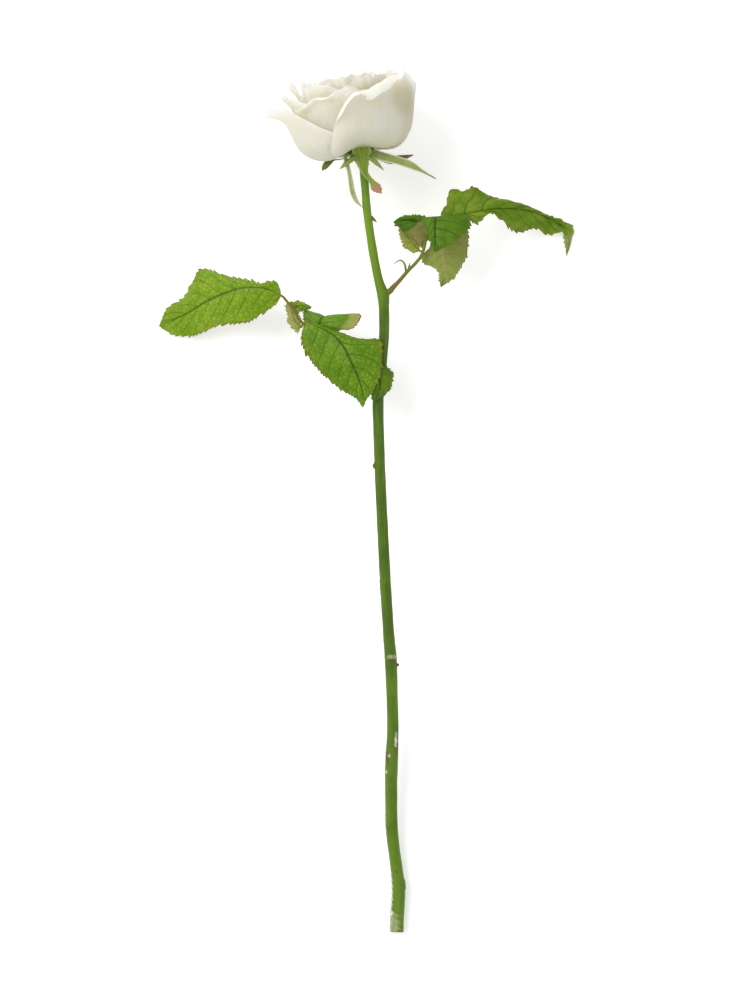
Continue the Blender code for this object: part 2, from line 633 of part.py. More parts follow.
def make_stem():
    """The stem, from the cut end to the hip, with a thorn on its neck and a bud scar below."""
    line = [place for place, _ in STEM_LINE]
    radii = [radius for _, radius in STEM_LINE]
    stem = tube("stem", line, radii, materials["stem"], sides=12)
    thorn = cone("thorn", (3.0, 147.4, 35.2), (6.2, 144.4, 35.6), 1.5, 0.25, materials["stem"])
    scar = cone("scar", (10.0, -86.0, 13.9), (17.6, -85.0, 14.2), 1.3, 0.9, materials["stem"])
    join_solids(stem, [thorn, scar])
    stem.data.shade_smooth()


def make_leaf(side, leaf, rachis, stipules):
    """A compound leaf: its stalk and its five leaflets, each a solid of its own."""
    radii = np.interp(np.linspace(0, 1, len(rachis)), [0.0, 0.08, 0.5, 1.0], [1.5, 1.05, RACHIS_RADIUS, 0.65])
    stalk = tube(f"{side}_leaf_stalk", rachis, radii, materials["stem"], sides=6)
    horns = [
        tube(f"horn_{number}", line, np.linspace(0.55, 0.16, len(line)), materials["stem"], sides=4)
        for number, line in enumerate(stipules)
    ]
    join_solids(stalk, horns)
    for name, shape in leaf.items():
        rows = 15 if name == "terminal" else 10
        blade(f"{side}_leaflet_{name}", shape, materials["leaf"], LEAF_THICKNESS, rows=rows)


def move_points(points):
    """Points measured from the hip's top, in the rose's own frame; a plain number stays."""
    return points if np.isscalar(points) else np.array(points) + np.array(BLOOM_BASE)


def make_sepals():
    green = materials["sepal"]
    for name, shape in SEPALS.items():
        shape = {key: move_points(value) for key, value in shape.items()}
        sepal = blade(f"sepal_{name}", shape, green, SEPAL_THICKNESS, rows=9, arch=0.4)
        if name == "front":
            solid_mesh(sepal)
            lobes = [
                tube(f"lobe_{number}", move_points(line), LOBE_RADII[: len(line)], green, sides=4)
                for number, line in enumerate(FRONT_LOBES)
            ]
            join_solids(sepal, lobes)


clear_scene()
rose = bpy.data.collections.new("cut_rose")
bpy.context.scene.collection.children.link(rose)
materials = {
    "petal": make_material("petal", (0.87, 0.85, 0.74), 0.55),
    "leaf": make_material("leaf", (0.13, 0.30, 0.05), 0.5),
    "stem": make_material("stem", (0.16, 0.30, 0.07), 0.45),
    "sepal": make_material("sepal", (0.22, 0.36, 0.11), 0.6),
    "stamen": make_material("stamen", (0.80, 0.62, 0.22), 0.7),
}
make_stem()
make_hip()
make_sepals()
make_stamens()
make_petals()
make_leaf("left", LEFT_LEAF, LEFT_RACHIS, [])
make_leaf("right", RIGHT_LEAF, RIGHT_RACHIS, RIGHT_STIPULES)
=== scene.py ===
import math

import bpy
import numpy as np
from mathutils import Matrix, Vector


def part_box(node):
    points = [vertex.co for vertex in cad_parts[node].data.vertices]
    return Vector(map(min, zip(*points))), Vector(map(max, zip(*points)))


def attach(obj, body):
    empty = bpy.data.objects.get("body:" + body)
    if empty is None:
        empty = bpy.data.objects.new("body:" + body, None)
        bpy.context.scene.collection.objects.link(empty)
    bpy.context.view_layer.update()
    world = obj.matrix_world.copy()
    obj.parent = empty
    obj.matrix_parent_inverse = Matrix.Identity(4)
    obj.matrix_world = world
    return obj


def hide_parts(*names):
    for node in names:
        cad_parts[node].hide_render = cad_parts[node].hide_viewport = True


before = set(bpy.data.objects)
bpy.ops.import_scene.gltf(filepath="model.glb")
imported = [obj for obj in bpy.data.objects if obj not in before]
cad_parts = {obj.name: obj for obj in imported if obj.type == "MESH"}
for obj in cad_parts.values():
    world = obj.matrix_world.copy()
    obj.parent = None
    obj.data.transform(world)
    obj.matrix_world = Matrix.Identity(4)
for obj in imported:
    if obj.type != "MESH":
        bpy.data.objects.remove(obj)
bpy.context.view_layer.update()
mm = 0.001
print("frame:", len(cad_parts), "nodes")


# ---- small maths ----
def ease(t):  # 0 below 0, 1 above 1, 3t^2 - 2t^3 between
    t = np.clip(t, 0.0, 1.0)
    return t * t * (3.0 - 2.0 * t)


def late(share, start):  # 0 up to start, then eases to 1 at share 1
    return ease((share - start) / (1.0 - start))


def bump(x, centre, width):  # exp(-((x - centre) / width)^2)
    return np.exp(-(((x - centre) / width) ** 2))


def unit(vectors):
    return vectors / np.maximum(np.linalg.norm(vectors, axis=-1, keepdims=True), 1e-12)


def ripple(x, phases, first=1.3, growth=1.9):
    # sum over k of sin(first * growth^k * pi * x + phase k) / 1.6^k, about -1 to 1
    total = sum(
        np.sin(first * growth**k * math.pi * x + phase) / 1.6**k for k, phase in enumerate(phases)
    )
    return total / sum(1.6**-k for k in range(len(phases)))


def spikes(x, count, phase, sharp):  # (1 - |sin(pi * (count * x + phase))|)^sharp, narrow peaks
    return (1.0 - np.abs(np.sin(math.pi * (count * x + phase)))) ** sharp


# smooth curve through the points (Catmull-Rom), read at fractions of its own length
def curveThrough(points, fractions):
    knots = np.array(points, float)
    ends = np.vstack([2 * knots[0] - knots[1], knots, 2 * knots[-1] - knots[-2]])
    t = np.linspace(0.0, 1.0, 24, endpoint=False)[None, :, None]
    a, b, c, d = (ends[k : k + len(knots) - 1, None, :] for k in range(4))
    spans = 2 * b + (c - a) * t + (2 * a - 5 * b + 4 * c - d) * t**2 + (3 * b - a - 3 * c + d) * t**3
    dense = np.vstack([(0.5 * spans).reshape(-1, 3), knots[-1:]])
    length = np.concatenate([[0.0], np.cumsum(np.linalg.norm(np.diff(dense, axis=0), axis=1))])
    return np.stack([np.interp(fractions * length[-1], length, dense[:, k]) for k in range(3)], axis=1)


# ---- grids to closed meshes ----
# normal = dP/du x dP/dv by central differences over grid[v, u]
def gridNormals(grid):
    return unit(np.cross(np.gradient(grid, axis=1), np.gradient(grid, axis=0)))


def gridQuads(rows, columns, closed=False):
    index = np.arange(rows * columns).reshape(rows, columns)
    if closed:
        index = np.hstack([index, index[:, :1]])
    corners = [index[:-1, :-1], index[:-1, 1:], index[1:, 1:], index[1:, :-1]]
    return np.stack(corners, axis=2).reshape(-1, 4)


# two faces P + n * t / 2 and P - n * t / 2, joined by a strip all round the rim
def shellPart(grid, thickness, uv, marks=None):
    rows, columns, _ = grid.shape
    normals = gridNormals(grid)
    half = normals * np.asarray(thickness)[..., None] / 2
    count = rows * columns
    front = np.arange(count).reshape(rows, columns)
    back = front + count
    face = gridQuads(rows, columns)
    strips = [
        (front[0, :-1], back[0, :-1], back[0, 1:], front[0, 1:]),
        (front[-1, 1:], back[-1, 1:], back[-1, :-1], front[-1, :-1]),
        (front[:-1, 0], front[1:, 0], back[1:, 0], back[:-1, 0]),
        (back[:-1, -1], back[1:, -1], front[1:, -1], front[:-1, -1]),
    ]
    quads = np.vstack([face, face[:, ::-1] + count, *(np.stack(strip, axis=1) for strip in strips)])
    marks = {key: np.tile(np.asarray(value, float).ravel(), 2) for key, value in (marks or {}).items()}
    marks["under"] = np.repeat([0.0, 1.0], count)
    return {
        "points": np.vstack([(grid + half).reshape(-1, 3), (grid - half).reshape(-1, 3)]),
        "quads": quads,
        "triangles": np.empty((0, 3), int),
        "uv": np.tile(uv.reshape(-1, 2), (2, 1)),
        "marks": marks,
    }


def roundAngles(sides):
    return np.linspace(0.0, 2.0 * math.pi, sides, endpoint=False)[None, :]


def roundUv(angle, along):
    return np.stack(np.broadcast_arrays(angle / (2 * math.pi), along), axis=2)


# rings grid[ring, side] closed round each ring, with a point at each end
def ringPart(grid, startPole, endPole, uv, marks=None):
    rings, sides, _ = grid.shape
    count = rings * sides
    first = np.arange(sides)
    after = np.roll(first, -1)
    last = first + count - sides
    lastAfter = after + count - sides
    triangles = np.vstack([
        np.stack([np.full(sides, count), after, first], axis=1),
        np.stack([np.full(sides, count + 1), last, lastAfter], axis=1),
    ])
    marks = {
        key: np.concatenate([np.asarray(value, float).ravel(), [value[0].mean(), value[-1].mean()]])
        for key, value in (marks or {}).items()
    }
    flat = uv.reshape(-1, 2)
    return {
        "points": np.vstack([grid.reshape(-1, 3), startPole, endPole]),
        "quads": gridQuads(rings, sides, closed=True),
        "triangles": triangles,
        "uv": np.vstack([flat, flat[0], flat[-1]]),
        "marks": marks,
    }


def joinParts(parts):
    offsets = np.cumsum([0] + [len(part["points"]) for part in parts[:-1]])
    names = sorted({name for part in parts for name in part["marks"]})
    return {
        "points": np.vstack([part["points"] for part in parts]),
        "quads": np.vstack([part["quads"] + k for part, k in zip(parts, offsets)]),
        "triangles": np.vstack([part["triangles"] + k for part, k in zip(parts, offsets)]),
        "uv": np.vstack([part["uv"] for part in parts]),
        "marks": {
            name: np.concatenate([part["marks"].get(name, np.zeros(len(part["points"]))) for part in parts])
            for name in names
        },
    }


creaseAngle = math.radians(55.0)  # sharper edges than this stay sharp


def addPiece(node, part, material):
    mesh = bpy.data.meshes.new(node + "_surface")
    mesh.from_pydata(part["points"] * mm, [], part["quads"].tolist() + part["triangles"].tolist())
    corners = np.empty(len(mesh.loops), np.int32)
    mesh.loops.foreach_get("vertex_index", corners)
    mesh.uv_layers.new(name="surface").data.foreach_set("uv", part["uv"][corners].ravel().astype(np.float32))
    for name, values in part["marks"].items():
        mesh.attributes.new(name, "FLOAT", "POINT").data.foreach_set("value", values.astype(np.float32))
    mesh.shade_smooth()
    mesh.set_sharp_from_angle(angle=creaseAngle)
    mesh.materials.append(material)
    piece = bpy.data.objects.new(node + "_surface", mesh)
    bpy.context.scene.collection.objects.link(piece)
    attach(piece, "root")
    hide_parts(node)


# ---- materials ----
def tone(red, green, blue):  # screen colour 0 to 255 to the linear value that a shader takes
    shares = (level / 255 for level in (red, green, blue))
    return tuple(c / 12.92 if c < 0.0404 else ((c + 0.055) / 1.055) ** 2.4 for c in shares)


class Signal:
    # one socket; arithmetic on it adds Math nodes
    def __init__(self, finish, socket):
        self.finish = finish
        self.socket = socket

    def __abs__(self):
        return self.finish.math("ABSOLUTE", self)


for method, operation in (("add", "ADD"), ("sub", "SUBTRACT"), ("mul", "MULTIPLY"), ("truediv", "DIVIDE"),
                          ("pow", "POWER")):
    setattr(Signal, f"__{method}__", lambda self, other, op=operation: self.finish.math(op, self, other))
    setattr(Signal, f"__r{method}__", lambda self, other, op=operation: self.finish.math(op, other, self))


class Finish:
    # a material and the few ways its nodes are made
    def __init__(self, name, look=None):
        self.look = look
        self.material = bpy.data.materials.new(name)
        self.material.use_nodes = True
        self.tree = self.material.node_tree
        self.tree.nodes.clear()

    def add(self, kind, settings, values, output=0):
        node = self.tree.nodes.new(kind)
        for key, value in settings.items():
            setattr(node, key, value)
        for key, value in values.items():
            if isinstance(value, Signal):
                self.tree.links.new(value.socket, node.inputs[key])
            else:
                node.inputs[key].default_value = value
        return Signal(self, node.outputs[output]) if node.outputs else node

    def math(self, operation, *values):
        return self.add("ShaderNodeMath", {"operation": operation}, dict(enumerate(values)))

    def mark(self, name):
        return self.add("ShaderNodeAttribute", {"attribute_name": name}, {}, "Fac")

    def place(self):
        return self.add("ShaderNodeTexCoord", {}, {}, "Object")

    def surface(self):  # across and along, each 0 to 1
        uv = self.add("ShaderNodeUVMap", {"uv_map": "surface"}, {})
        split = self.add("ShaderNodeSeparateXYZ", {}, {0: uv}, "X")
        return split, Signal(self, split.socket.node.outputs["Y"])

    def vector(self, x, y, z):
        return self.add("ShaderNodeCombineXYZ", {}, {0: x, 1: y, 2: z})

    def stretch(self, vector, scale):
        return self.add("ShaderNodeVectorMath", {"operation": "MULTIPLY"}, {0: vector, 1: scale})

    def noise(self, vector, scale, detail=3.0, roughness=0.55):
        values = {"Vector": vector, "Scale": scale, "Detail": detail, "Roughness": roughness}
        return self.add("ShaderNodeTexNoise", {}, values, "Fac")

    def step(self, value, low, high, start=0.0, stop=1.0):  # smooth from start at low to stop at high
        settings = {"interpolation_type": "SMOOTHSTEP"}
        values = {"Value": value, "From Min": low, "From Max": high, "To Min": start, "To Max": stop}
        return self.add("ShaderNodeMapRange", settings, values, "Result")

    def mix(self, factor, first, second):
        first, second = (c if isinstance(c, Signal) else (*c, 1.0) for c in (first, second))
        settings = {"data_type": "RGBA", "clamp_factor": True}
        return self.add("ShaderNodeMix", settings, {0: factor, 6: first, 7: second}, 2)

    def band(self, value, name, layer=None):  # a layer whose share rises over nameBand to nameShare
        return self.step(value, *self.look[name + "Band"]) * self.look[name + "Share"], layer or name

    def coats(self, face, *layers):  # each layer: share, and the name of its tone in look
        for share, name in layers:
            face = self.mix(share, face, self.look[name])
        return face

    def relief(self, height, distance, strength=1.0):
        return self.add("ShaderNodeBump", {}, {"Height": height, "Distance": distance, "Strength": strength})

    # Principled shader, mixed with light that comes through the sheet by the share "through"
    def close(self, colour, roughness, normal, fixed, through=0.0, throughColour=None):
        values = {"Base Color": colour, "Roughness": roughness, "Normal": normal, **fixed}
        skin = self.add("ShaderNodeBsdfPrincipled", {}, values)
        if through:
            glow = self.add("ShaderNodeBsdfTranslucent", {}, {"Color": throughColour, "Normal": normal})
            skin = self.add("ShaderNodeMixShader", {}, {0: through, 1: skin, 2: glow})
        self.add("ShaderNodeOutputMaterial", {}, {0: skin})
        return self.material


def petalFinish(name, look):
    finish = Finish(name, look)
    across, along = finish.surface()
    inside = finish.mark("under")
    place = finish.place()
    fan = finish.vector(across * look["veins"], along * look["veinWander"], 0.0)
    veins = finish.noise(fan, 1.0, 2.0)
    clouds = finish.noise(place, look["cloudScale"], 3.0)
    face = finish.coats(
        finish.mix(inside, look["outside"], look["inside"]), finish.band(clouds, "warm"),
        finish.band(veins, "vein"), finish.band(along, "heel"), finish.band(along, "rim"),
    )
    # spots lay small patches of tone: real tan spots, and painted shade where the tone is shade
    for colour, share, blurred, spotAcross, spotAlong, width, length in look["spots"]:
        far = ((across - spotAcross) / width) ** 2.0 + ((along - spotAlong) / length) ** 2.0
        face = finish.coats(face, (finish.step(far, blurred, 0.1) * share, colour))
    grain = finish.noise(place, look["grainScale"], 2.0)
    height = veins * 0.7 + grain * 0.18 + clouds * 0.5
    normal = finish.relief(height, look["reliefDepth"], 0.55)
    rough = 0.46 + clouds * 0.14
    fixed = {
        "Subsurface Weight": 0.4,
        "Subsurface Radius": (0.9, 0.75, 0.5),
        "Subsurface Scale": 0.0022,
        "Specular IOR Level": 0.28,
        "Sheen Weight": 0.12,
    }
    return finish.close(face, rough, normal, fixed, look["through"], face)


def leafFinish(name, look):
    finish = Finish(name, look)
    across, along = finish.surface()
    side = abs(across * 2.0 - 1.0)
    under = finish.mark("pale")
    place = finish.place()
    veinAt = (along - side**1.15 * look["slant"]) * look["veinCount"]
    fromVein = abs(finish.math("FRACT", veinAt + 0.5) - 0.5)
    lateral = finish.step(fromVein, look["veinWidth"], 0.01) * finish.step(side, 1.0, 0.55, 0.25, 1.0)
    midrib = finish.step(side, look["midribWidth"], 0.012)
    cells = finish.add(
        "ShaderNodeTexVoronoi", {"feature": "DISTANCE_TO_EDGE"}, {"Vector": place, "Scale": look["cells"]},
        "Distance"
    )
    net = finish.step(cells, look["netWidth"], 0.02)
    small = finish.noise(place, look["grainScale"], 2.0)
    clouds = finish.noise(place, look["cloudScale"], 3.0)
    blotch = finish.noise(place, look["blotchScale"], 3.0)
    face = finish.coats(
        look["upper"],
        (finish.step(clouds, *look["lightBand"]), "upperLight"),
        finish.band(blotch, "blotch", "upperDark"),
        (net * look["netShare"], "vein"),
        (lateral * look["veinShare"], "vein"),
        (midrib * look["midribShare"], "midrib"),
    )
    back = finish.coats(
        look["lower"],
        (finish.step(clouds, *look["lowerBand"]), "lowerLight"),
        (net * look["lowerNetShare"], "lowerVein"),
        (lateral * look["lowerVeinShare"], "lowerVein"),
        (midrib * look["lowerMidribShare"], "lowerMidrib"),
    )
    face = finish.mix(under, face, back)
    edge = finish.step(side + small * look["edgeRagged"], look["edgeFrom"], 1.0)
    face = finish.coats(face, (edge * look["edgeShare"], "edge"))
    height = (1.0 - net) * 0.35 - lateral * 0.8 - midrib + small * 0.12
    normal = finish.relief(height, look["reliefDepth"], 0.6)
    rough = finish.step(under, 0.0, 1.0, look["gloss"], look["underGloss"]) + small * 0.08
    fixed = {"Specular IOR Level": 0.2, "Subsurface Weight": 0.05, "Subsurface Scale": 0.001}
    return finish.close(face, rough, normal, fixed, look["through"], face)


def stemFinish(name, look):
    finish = Finish(name, look)
    place = finish.place()
    streaks = finish.noise(finish.stretch(place, look["grain"]), 1.0, 4.0)
    fine = finish.noise(finish.stretch(place, tuple(4 * share for share in look["grain"])), 1.0, 2.0)
    clouds = finish.noise(place, look["cloudScale"], 3.0)
    specks = finish.noise(place, look["speckScale"], 2.0)
    face = finish.coats(
        look["old"], (finish.mark("young"), "young"), finish.band(streaks, "light"),
        finish.band(clouds, "dark"), finish.band(specks, "speck"), (finish.mark("rust"), "rust"),
        (finish.mark("bark"), "bark"),
    )
    fibre = finish.mix(finish.step(fine, *look["fibreBand"]), look["pith"], look["pithDark"])
    face = finish.mix(finish.mark("pith"), face, fibre)
    normal = finish.relief(streaks * 0.5 + fine * 0.35 + specks * 0.1, look["reliefDepth"], 0.5)
    rough = 0.42 + streaks * 0.2
    fixed = {"Specular IOR Level": 0.22, "Subsurface Weight": 0.06, "Subsurface Scale": 0.001}
    return finish.close(face, rough, normal, fixed)


def sepalFinish(name, look):
    finish = Finish(name, look)
    across, along = finish.surface()
    side = abs(across * 2.0 - 1.0)
    place = finish.place()
    lines = finish.noise(finish.vector(across * look["lines"], along * 1.2, 0.0), 1.0, 2.0)
    clouds = finish.noise(place, look["cloudScale"], 3.0)
    face = finish.coats(
        look["outer"], (finish.mark("pale"), "inner"), finish.band(clouds, "dark"),
        finish.band(lines, "line"), finish.band(side, "hem"), (finish.mark("rust"), "tip"),
    )
    normal = finish.relief(lines * 0.6 + clouds * 0.3, look["reliefDepth"], 0.5)
    fixed = {"Specular IOR Level": 0.3}
    return finish.close(face, 0.55 + clouds * 0.15, normal, fixed, look["through"], face)


def stamenFinish(name, look):
    finish = Finish(name, look)
    dust = finish.noise(finish.place(), look["grainScale"], 2.0)
    face = finish.coats(look["thread"], (finish.mark("tip"), "pollen"), finish.band(dust, "shade"))
    normal = finish.relief(dust, look["reliefDepth"])
    return finish.close(face, 0.7 + dust * 0.1, normal, {"Specular IOR Level": 0.2})


# ---- camera, light and floor ----
studio = dict(
    frameHeight=0.52, distance=6.0, aim=(0.0052, 0.0008), planeHeight=0.025, sensorHeight=24.0, farthest=50.0,
    sky=(0.93, 0.94, 0.95), skyStrength=0.8, lampAim=(0.0, 0.1, 0.0),
    keyPlace=(-1.7, 1.2, 2.2), keySize=1.8, keyPower=52.0, keyTint=(1.0, 0.99, 0.97),
    fillPlace=(1.8, -0.9, 1.8), fillSize=2.4, fillPower=5.0, fillTint=(1.0, 1.0, 1.0),
    floorSize=6.0, floorTone=(0.95, 0.95, 0.95), floorGlow=0.26,
)


def aimedObject(name, data, place, target):
    made = bpy.data.objects.new(name, data)
    bpy.context.scene.collection.objects.link(made)
    made.location = place
    direction = np.array(target) - np.array(place)
    flat = math.hypot(direction[0], direction[1])
    made.rotation_euler = (math.atan2(flat, -direction[2]), 0.0,
                           math.atan2(-direction[0], direction[1]) if flat > 1e-6 else 0.0)
    return made


def buildStudio():
    x, y = studio["aim"]
    cameraData = bpy.data.cameras.new("camera")
    cameraData.sensor_fit = "VERTICAL"
    cameraData.sensor_height = studio["sensorHeight"]
    cameraData.lens = studio["sensorHeight"] * studio["distance"] / studio["frameHeight"]
    cameraData.clip_end = studio["farthest"]
    height = studio["planeHeight"] + studio["distance"]
    camera = aimedObject("camera", cameraData, (x, y, height), (x, y, 0.0))
    bpy.context.scene.camera = camera
    for name in ("key", "fill"):
        lamp = bpy.data.lights.new(name, "AREA")
        lamp.size = studio[name + "Size"]
        lamp.energy = studio[name + "Power"]
        lamp.color = studio[name + "Tint"]
        aimedObject(name, lamp, studio[name + "Place"], studio["lampAim"])
    world = bpy.data.worlds.new("room")
    world.use_nodes = True
    background = world.node_tree.nodes["Background"]
    background.inputs["Color"].default_value = (*studio["sky"], 1.0)
    background.inputs["Strength"].default_value = studio["skyStrength"]
    bpy.context.scene.world = world
    bpy.context.scene.view_settings.view_transform = "Standard"
    half = studio["floorSize"] / 2
    mesh = bpy.data.meshes.new("floor")
    mesh.from_pydata([(-half, -half, 0.0), (half, -half, 0.0), (half, half, 0.0), (-half, half, 0.0)], [],
                     [(0, 1, 2, 3)])
    paper = Finish("paperFloor")
    shade = paper.noise(paper.place(), 3.0, 2.0)
    tint = paper.mix(shade * 0.05, studio["floorTone"], tuple(0.97 * c for c in studio["floorTone"]))
    matt = {"Specular IOR Level": 0.1, "Emission Color": (1.0, 1.0, 1.0, 1.0),
            "Emission Strength": studio["floorGlow"]}
    mesh.materials.append(paper.close(tint, 0.9, paper.relief(shade, 0.0001, 0.1), matt))
    floor = bpy.data.objects.new("floor", mesh)
    bpy.context.scene.collection.objects.link(floor)


buildStudio()
print("studio ready")


# ---- the bloom ----
# Lengths are in mm. The petals grow from the receptacle, the dome on top of the hip.
bloom = dict(
    baseFromHip=(-0.26, 2.57, 0.06), lean=10.5, nod=2.5, cupRadius=30.8, nesting=0.85, lopsided=0.03,
    lopsidedAt=70.0, outerSlope=-20.0, innerSlope=60.0, roundness=0.9, flat=4.5, tuck=0.045, seatRadius=7.0,
    seatShrink=5.3, seatDome=6.4, heldFade=0.45, edgeRoll=0.3, edgeReach=0.4, flareStart=0.1, flarePeak=-0.5,
    edgeFlareLoss=0.45, saddleLift=5.2, saddleWidth=10.0, saddleStart=4.0, saddleReach=12.0, saddleFade=27.0,
    heelThickness=0.4, rimThickness=0.2, steps=384,
    narrowFrom=0.55, waveFrom=0.45, cupFrom=0.6, crinkleFrom=0.72, thinFrom=0.55,
    guardGrid=(61, 72), whorlGrid=(49, 60),  # columns and rows of points in a petal
)
hipLow, hipHigh = (np.array(corner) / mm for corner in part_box("hip"))
bloomBase = (hipLow + hipHigh) / 2 + bloom["baseFromHip"]
lean, nod = math.radians(bloom["lean"]), math.radians(bloom["nod"])
bloomAxis = np.array([-math.sin(lean) * math.cos(nod), math.cos(lean) * math.cos(nod), math.sin(nod)])
bloomSide = unit(np.cross(bloomAxis, (0.0, 0.0, 1.0)))
bloomTurn = np.array([bloomSide, np.cross(bloomSide, bloomAxis), bloomAxis])  # rows: side, upper, axis


def turnedBy(share):  # (1 - roundness) * sin(pi/2 * x) + roundness * x
    return (1.0 - bloom["roundness"]) * np.sin(math.pi / 2 * share) + bloom["roundness"] * share


# height += lift * exp(-(side / width)^2) * ease(upper) * (1 - ease(height)): room for the calyx at the front
def saddle(local):
    side, upper, height = local[..., 0], local[..., 1], local[..., 2]
    lift = bloom["saddleLift"] * bump(side, 0.0, bloom["saddleWidth"])
    lift = lift * ease((upper - bloom["saddleStart"]) / bloom["saddleReach"])
    return np.stack([side, upper, height + lift * (1.0 - ease(height / bloom["saddleFade"]))], axis=-1)


petalColour = dict(
    outside=tone(247, 244, 230), inside=tone(249, 249, 242), warm=tone(247, 242, 220),
    vein=tone(238, 235, 212), heel=tone(212, 214, 156), rim=tone(250, 251, 249), spot=tone(222, 188, 108),
    # shade: a tan-grey tone of painted shade, laid on the shaded right side of the notched guard petal
    shade=tone(208, 200, 164), warmBand=(0.35, 0.75), warmShare=0.5, veinBand=(0.45, 0.65), veinShare=0.34,
    heelBand=(0.34, 0.02), heelShare=0.7, rimBand=(0.82, 1.0), rimShare=0.75, spots=[], veins=48.0,
    veinWander=2.5, cloudScale=90.0, grainScale=2600.0, reliefDepth=0.00022, through=0.42,
)
secondColour = dict(
    petalColour, outside=tone(254, 251, 238), warm=tone(252, 247, 228), rim=tone(253, 253, 248), rimShare=1.0,
    rimBand=(0.88, 0.93), veins=26.0, through=0.5,
)
innerColour = dict(
    petalColour, outside=tone(240, 235, 214), inside=tone(242, 236, 212), warm=tone(240, 226, 192),
    heel=tone(228, 214, 152), veins=18.0,
)

plainPetal = dict(
    depth=0.0, swell=0.0, wall=75.0, halfWidth=26.0, claw=2.4, full=0.5, twist=0.0, corner=0.24, round=2.4,
    slant=0.0, narrow=0.1, flare=0.0, flareLength=20.0, roll=0.0, rollLength=7.0, held=0.2, ruffle=0.0,
    waves=1.0, phase=0.0, crinkle=0.2, fringe=0.45, points=0.0, pointCount=2.0, crease=0.1, cup=0.0,
    notches=[],
)
guardPetals = [
    dict(plainPetal, azimuth=43.0, height=36.3, halfWidth=37.8, full=0.45, narrow=0.04, corner=0.4,
         round=5.5, slant=-0.13, roll=160.0, rollLength=11.5, held=-0.3, wall=72.5, swell=0.3, fringe=0.3,
         notches=[(-0.6, 0.14, 3.2), (-0.72, 0.025, 2.2), (-0.18, 0.15, -4.2), (0.52, 0.2, 3.4),
                  (0.16, 0.03, -1.0)]),
    dict(plainPetal, azimuth=151.0, height=31.0, roll=40.0, halfWidth=20.0, claw=2.0, swell=-0.9),
    dict(plainPetal, azimuth=197.0, height=31.0, roll=25.0, halfWidth=22.0, claw=1.8, swell=-0.15),
    dict(plainPetal, azimuth=-113.5, height=27.0, roll=40.0, halfWidth=23.0, claw=1.7),
    dict(plainPetal, azimuth=-48.0, height=25.5, halfWidth=25.0, claw=2.0, full=0.55, narrow=0.0,
         twist=-22.0, corner=0.1, slant=-0.28, flare=68.0, roll=25.0, rollLength=4.0, fringe=0.35,
         notches=[(0.1, 0.42, -3.6)]),
]
petalRings = [  # petals in the ring, half width, height, first azimuth
    (6, 21.5, 31.3, -30.0),
    (6, 18.0, 36.5, 20.0),
    (6, 15.0, 38.0, -8.0),
    (6, 11.5, 38.0, 27.0),
    (5, 9.4, 37.0, 5.0),
    (4, 6.2, 35.0, -30.0),
]
ringChanges = {  # by ring and number within it; notches below zero are points or a higher rim
    (0, 0): dict(notches=[(0.85, 0.35, -4.6), (0.05, 0.4, -4.2), (-0.9, 0.2, 1.0)]),
    (0, 1): dict(notches=[(-0.7, 0.4, -2.0)]),
    (0, 4): dict(roll=40.0),
    (0, 5): dict(roll=40.0, notches=[(0.2, 0.8, -5.0), (0.2, 0.06, -4.0), (-0.35, 0.05, -3.0)]),
    (1, 4): dict(roll=30.0, notches=[(0.3, 0.4, -3.0), (0.35, 0.05, -3.5), (0.0, 0.05, -2.5)]),
    (1, 5): dict(notches=[(-0.5, 0.06, -4.5), (0.1, 0.05, -3.5)]),
}
draws = np.random.default_rng(17)


def ringPetal(ring, number):
    count, halfWidth, height, first = petalRings[ring]
    depth = (ring + 1) / (len(petalRings) + 1)
    azimuth = first + 360.0 / count * number
    petal = dict(
        plainPetal, azimuth=azimuth, depth=depth, wall=75.0 + 13.0 * depth, halfWidth=halfWidth,
        claw=2.2 - 1.2 * depth, waves=2.0, phase=1.7 * number + ring,
    )
    if ring == 0:
        petal.update(
            height=height + 2.6 * math.sin(math.radians(azimuth)), corner=0.08, narrow=0.05, roll=96.0,
            rollLength=7.5, crinkle=0.25, fringe=0.5,
        )
    else:
        curl, reach, nick, cup = draws.uniform((0.0, 5.0, 0.3, -0.4), (46.0, 8.0, 2.2, 1.2))
        nicks = [(draws.uniform(-0.8, 0.8), draws.uniform(0.03, 0.16), nick * draws.uniform(0.4, 1.0))
                 for _ in range(3)]
        petal.update(
            height=height + 1.4 * math.sin(2.3 * number + ring), corner=0.14, narrow=0.16, ruffle=0.4,
            roll=curl, rollLength=reach, cup=cup, crinkle=draws.uniform(0.45, 1.0),
            fringe=draws.uniform(0.5, 1.1), points=draws.uniform(0.8, 3.8),
            pointCount=draws.uniform(0.8, 1.8), crease=draws.uniform(0.12, 0.36), notches=nicks,
        )
    return dict(petal, **ringChanges.get((ring, number), {}))


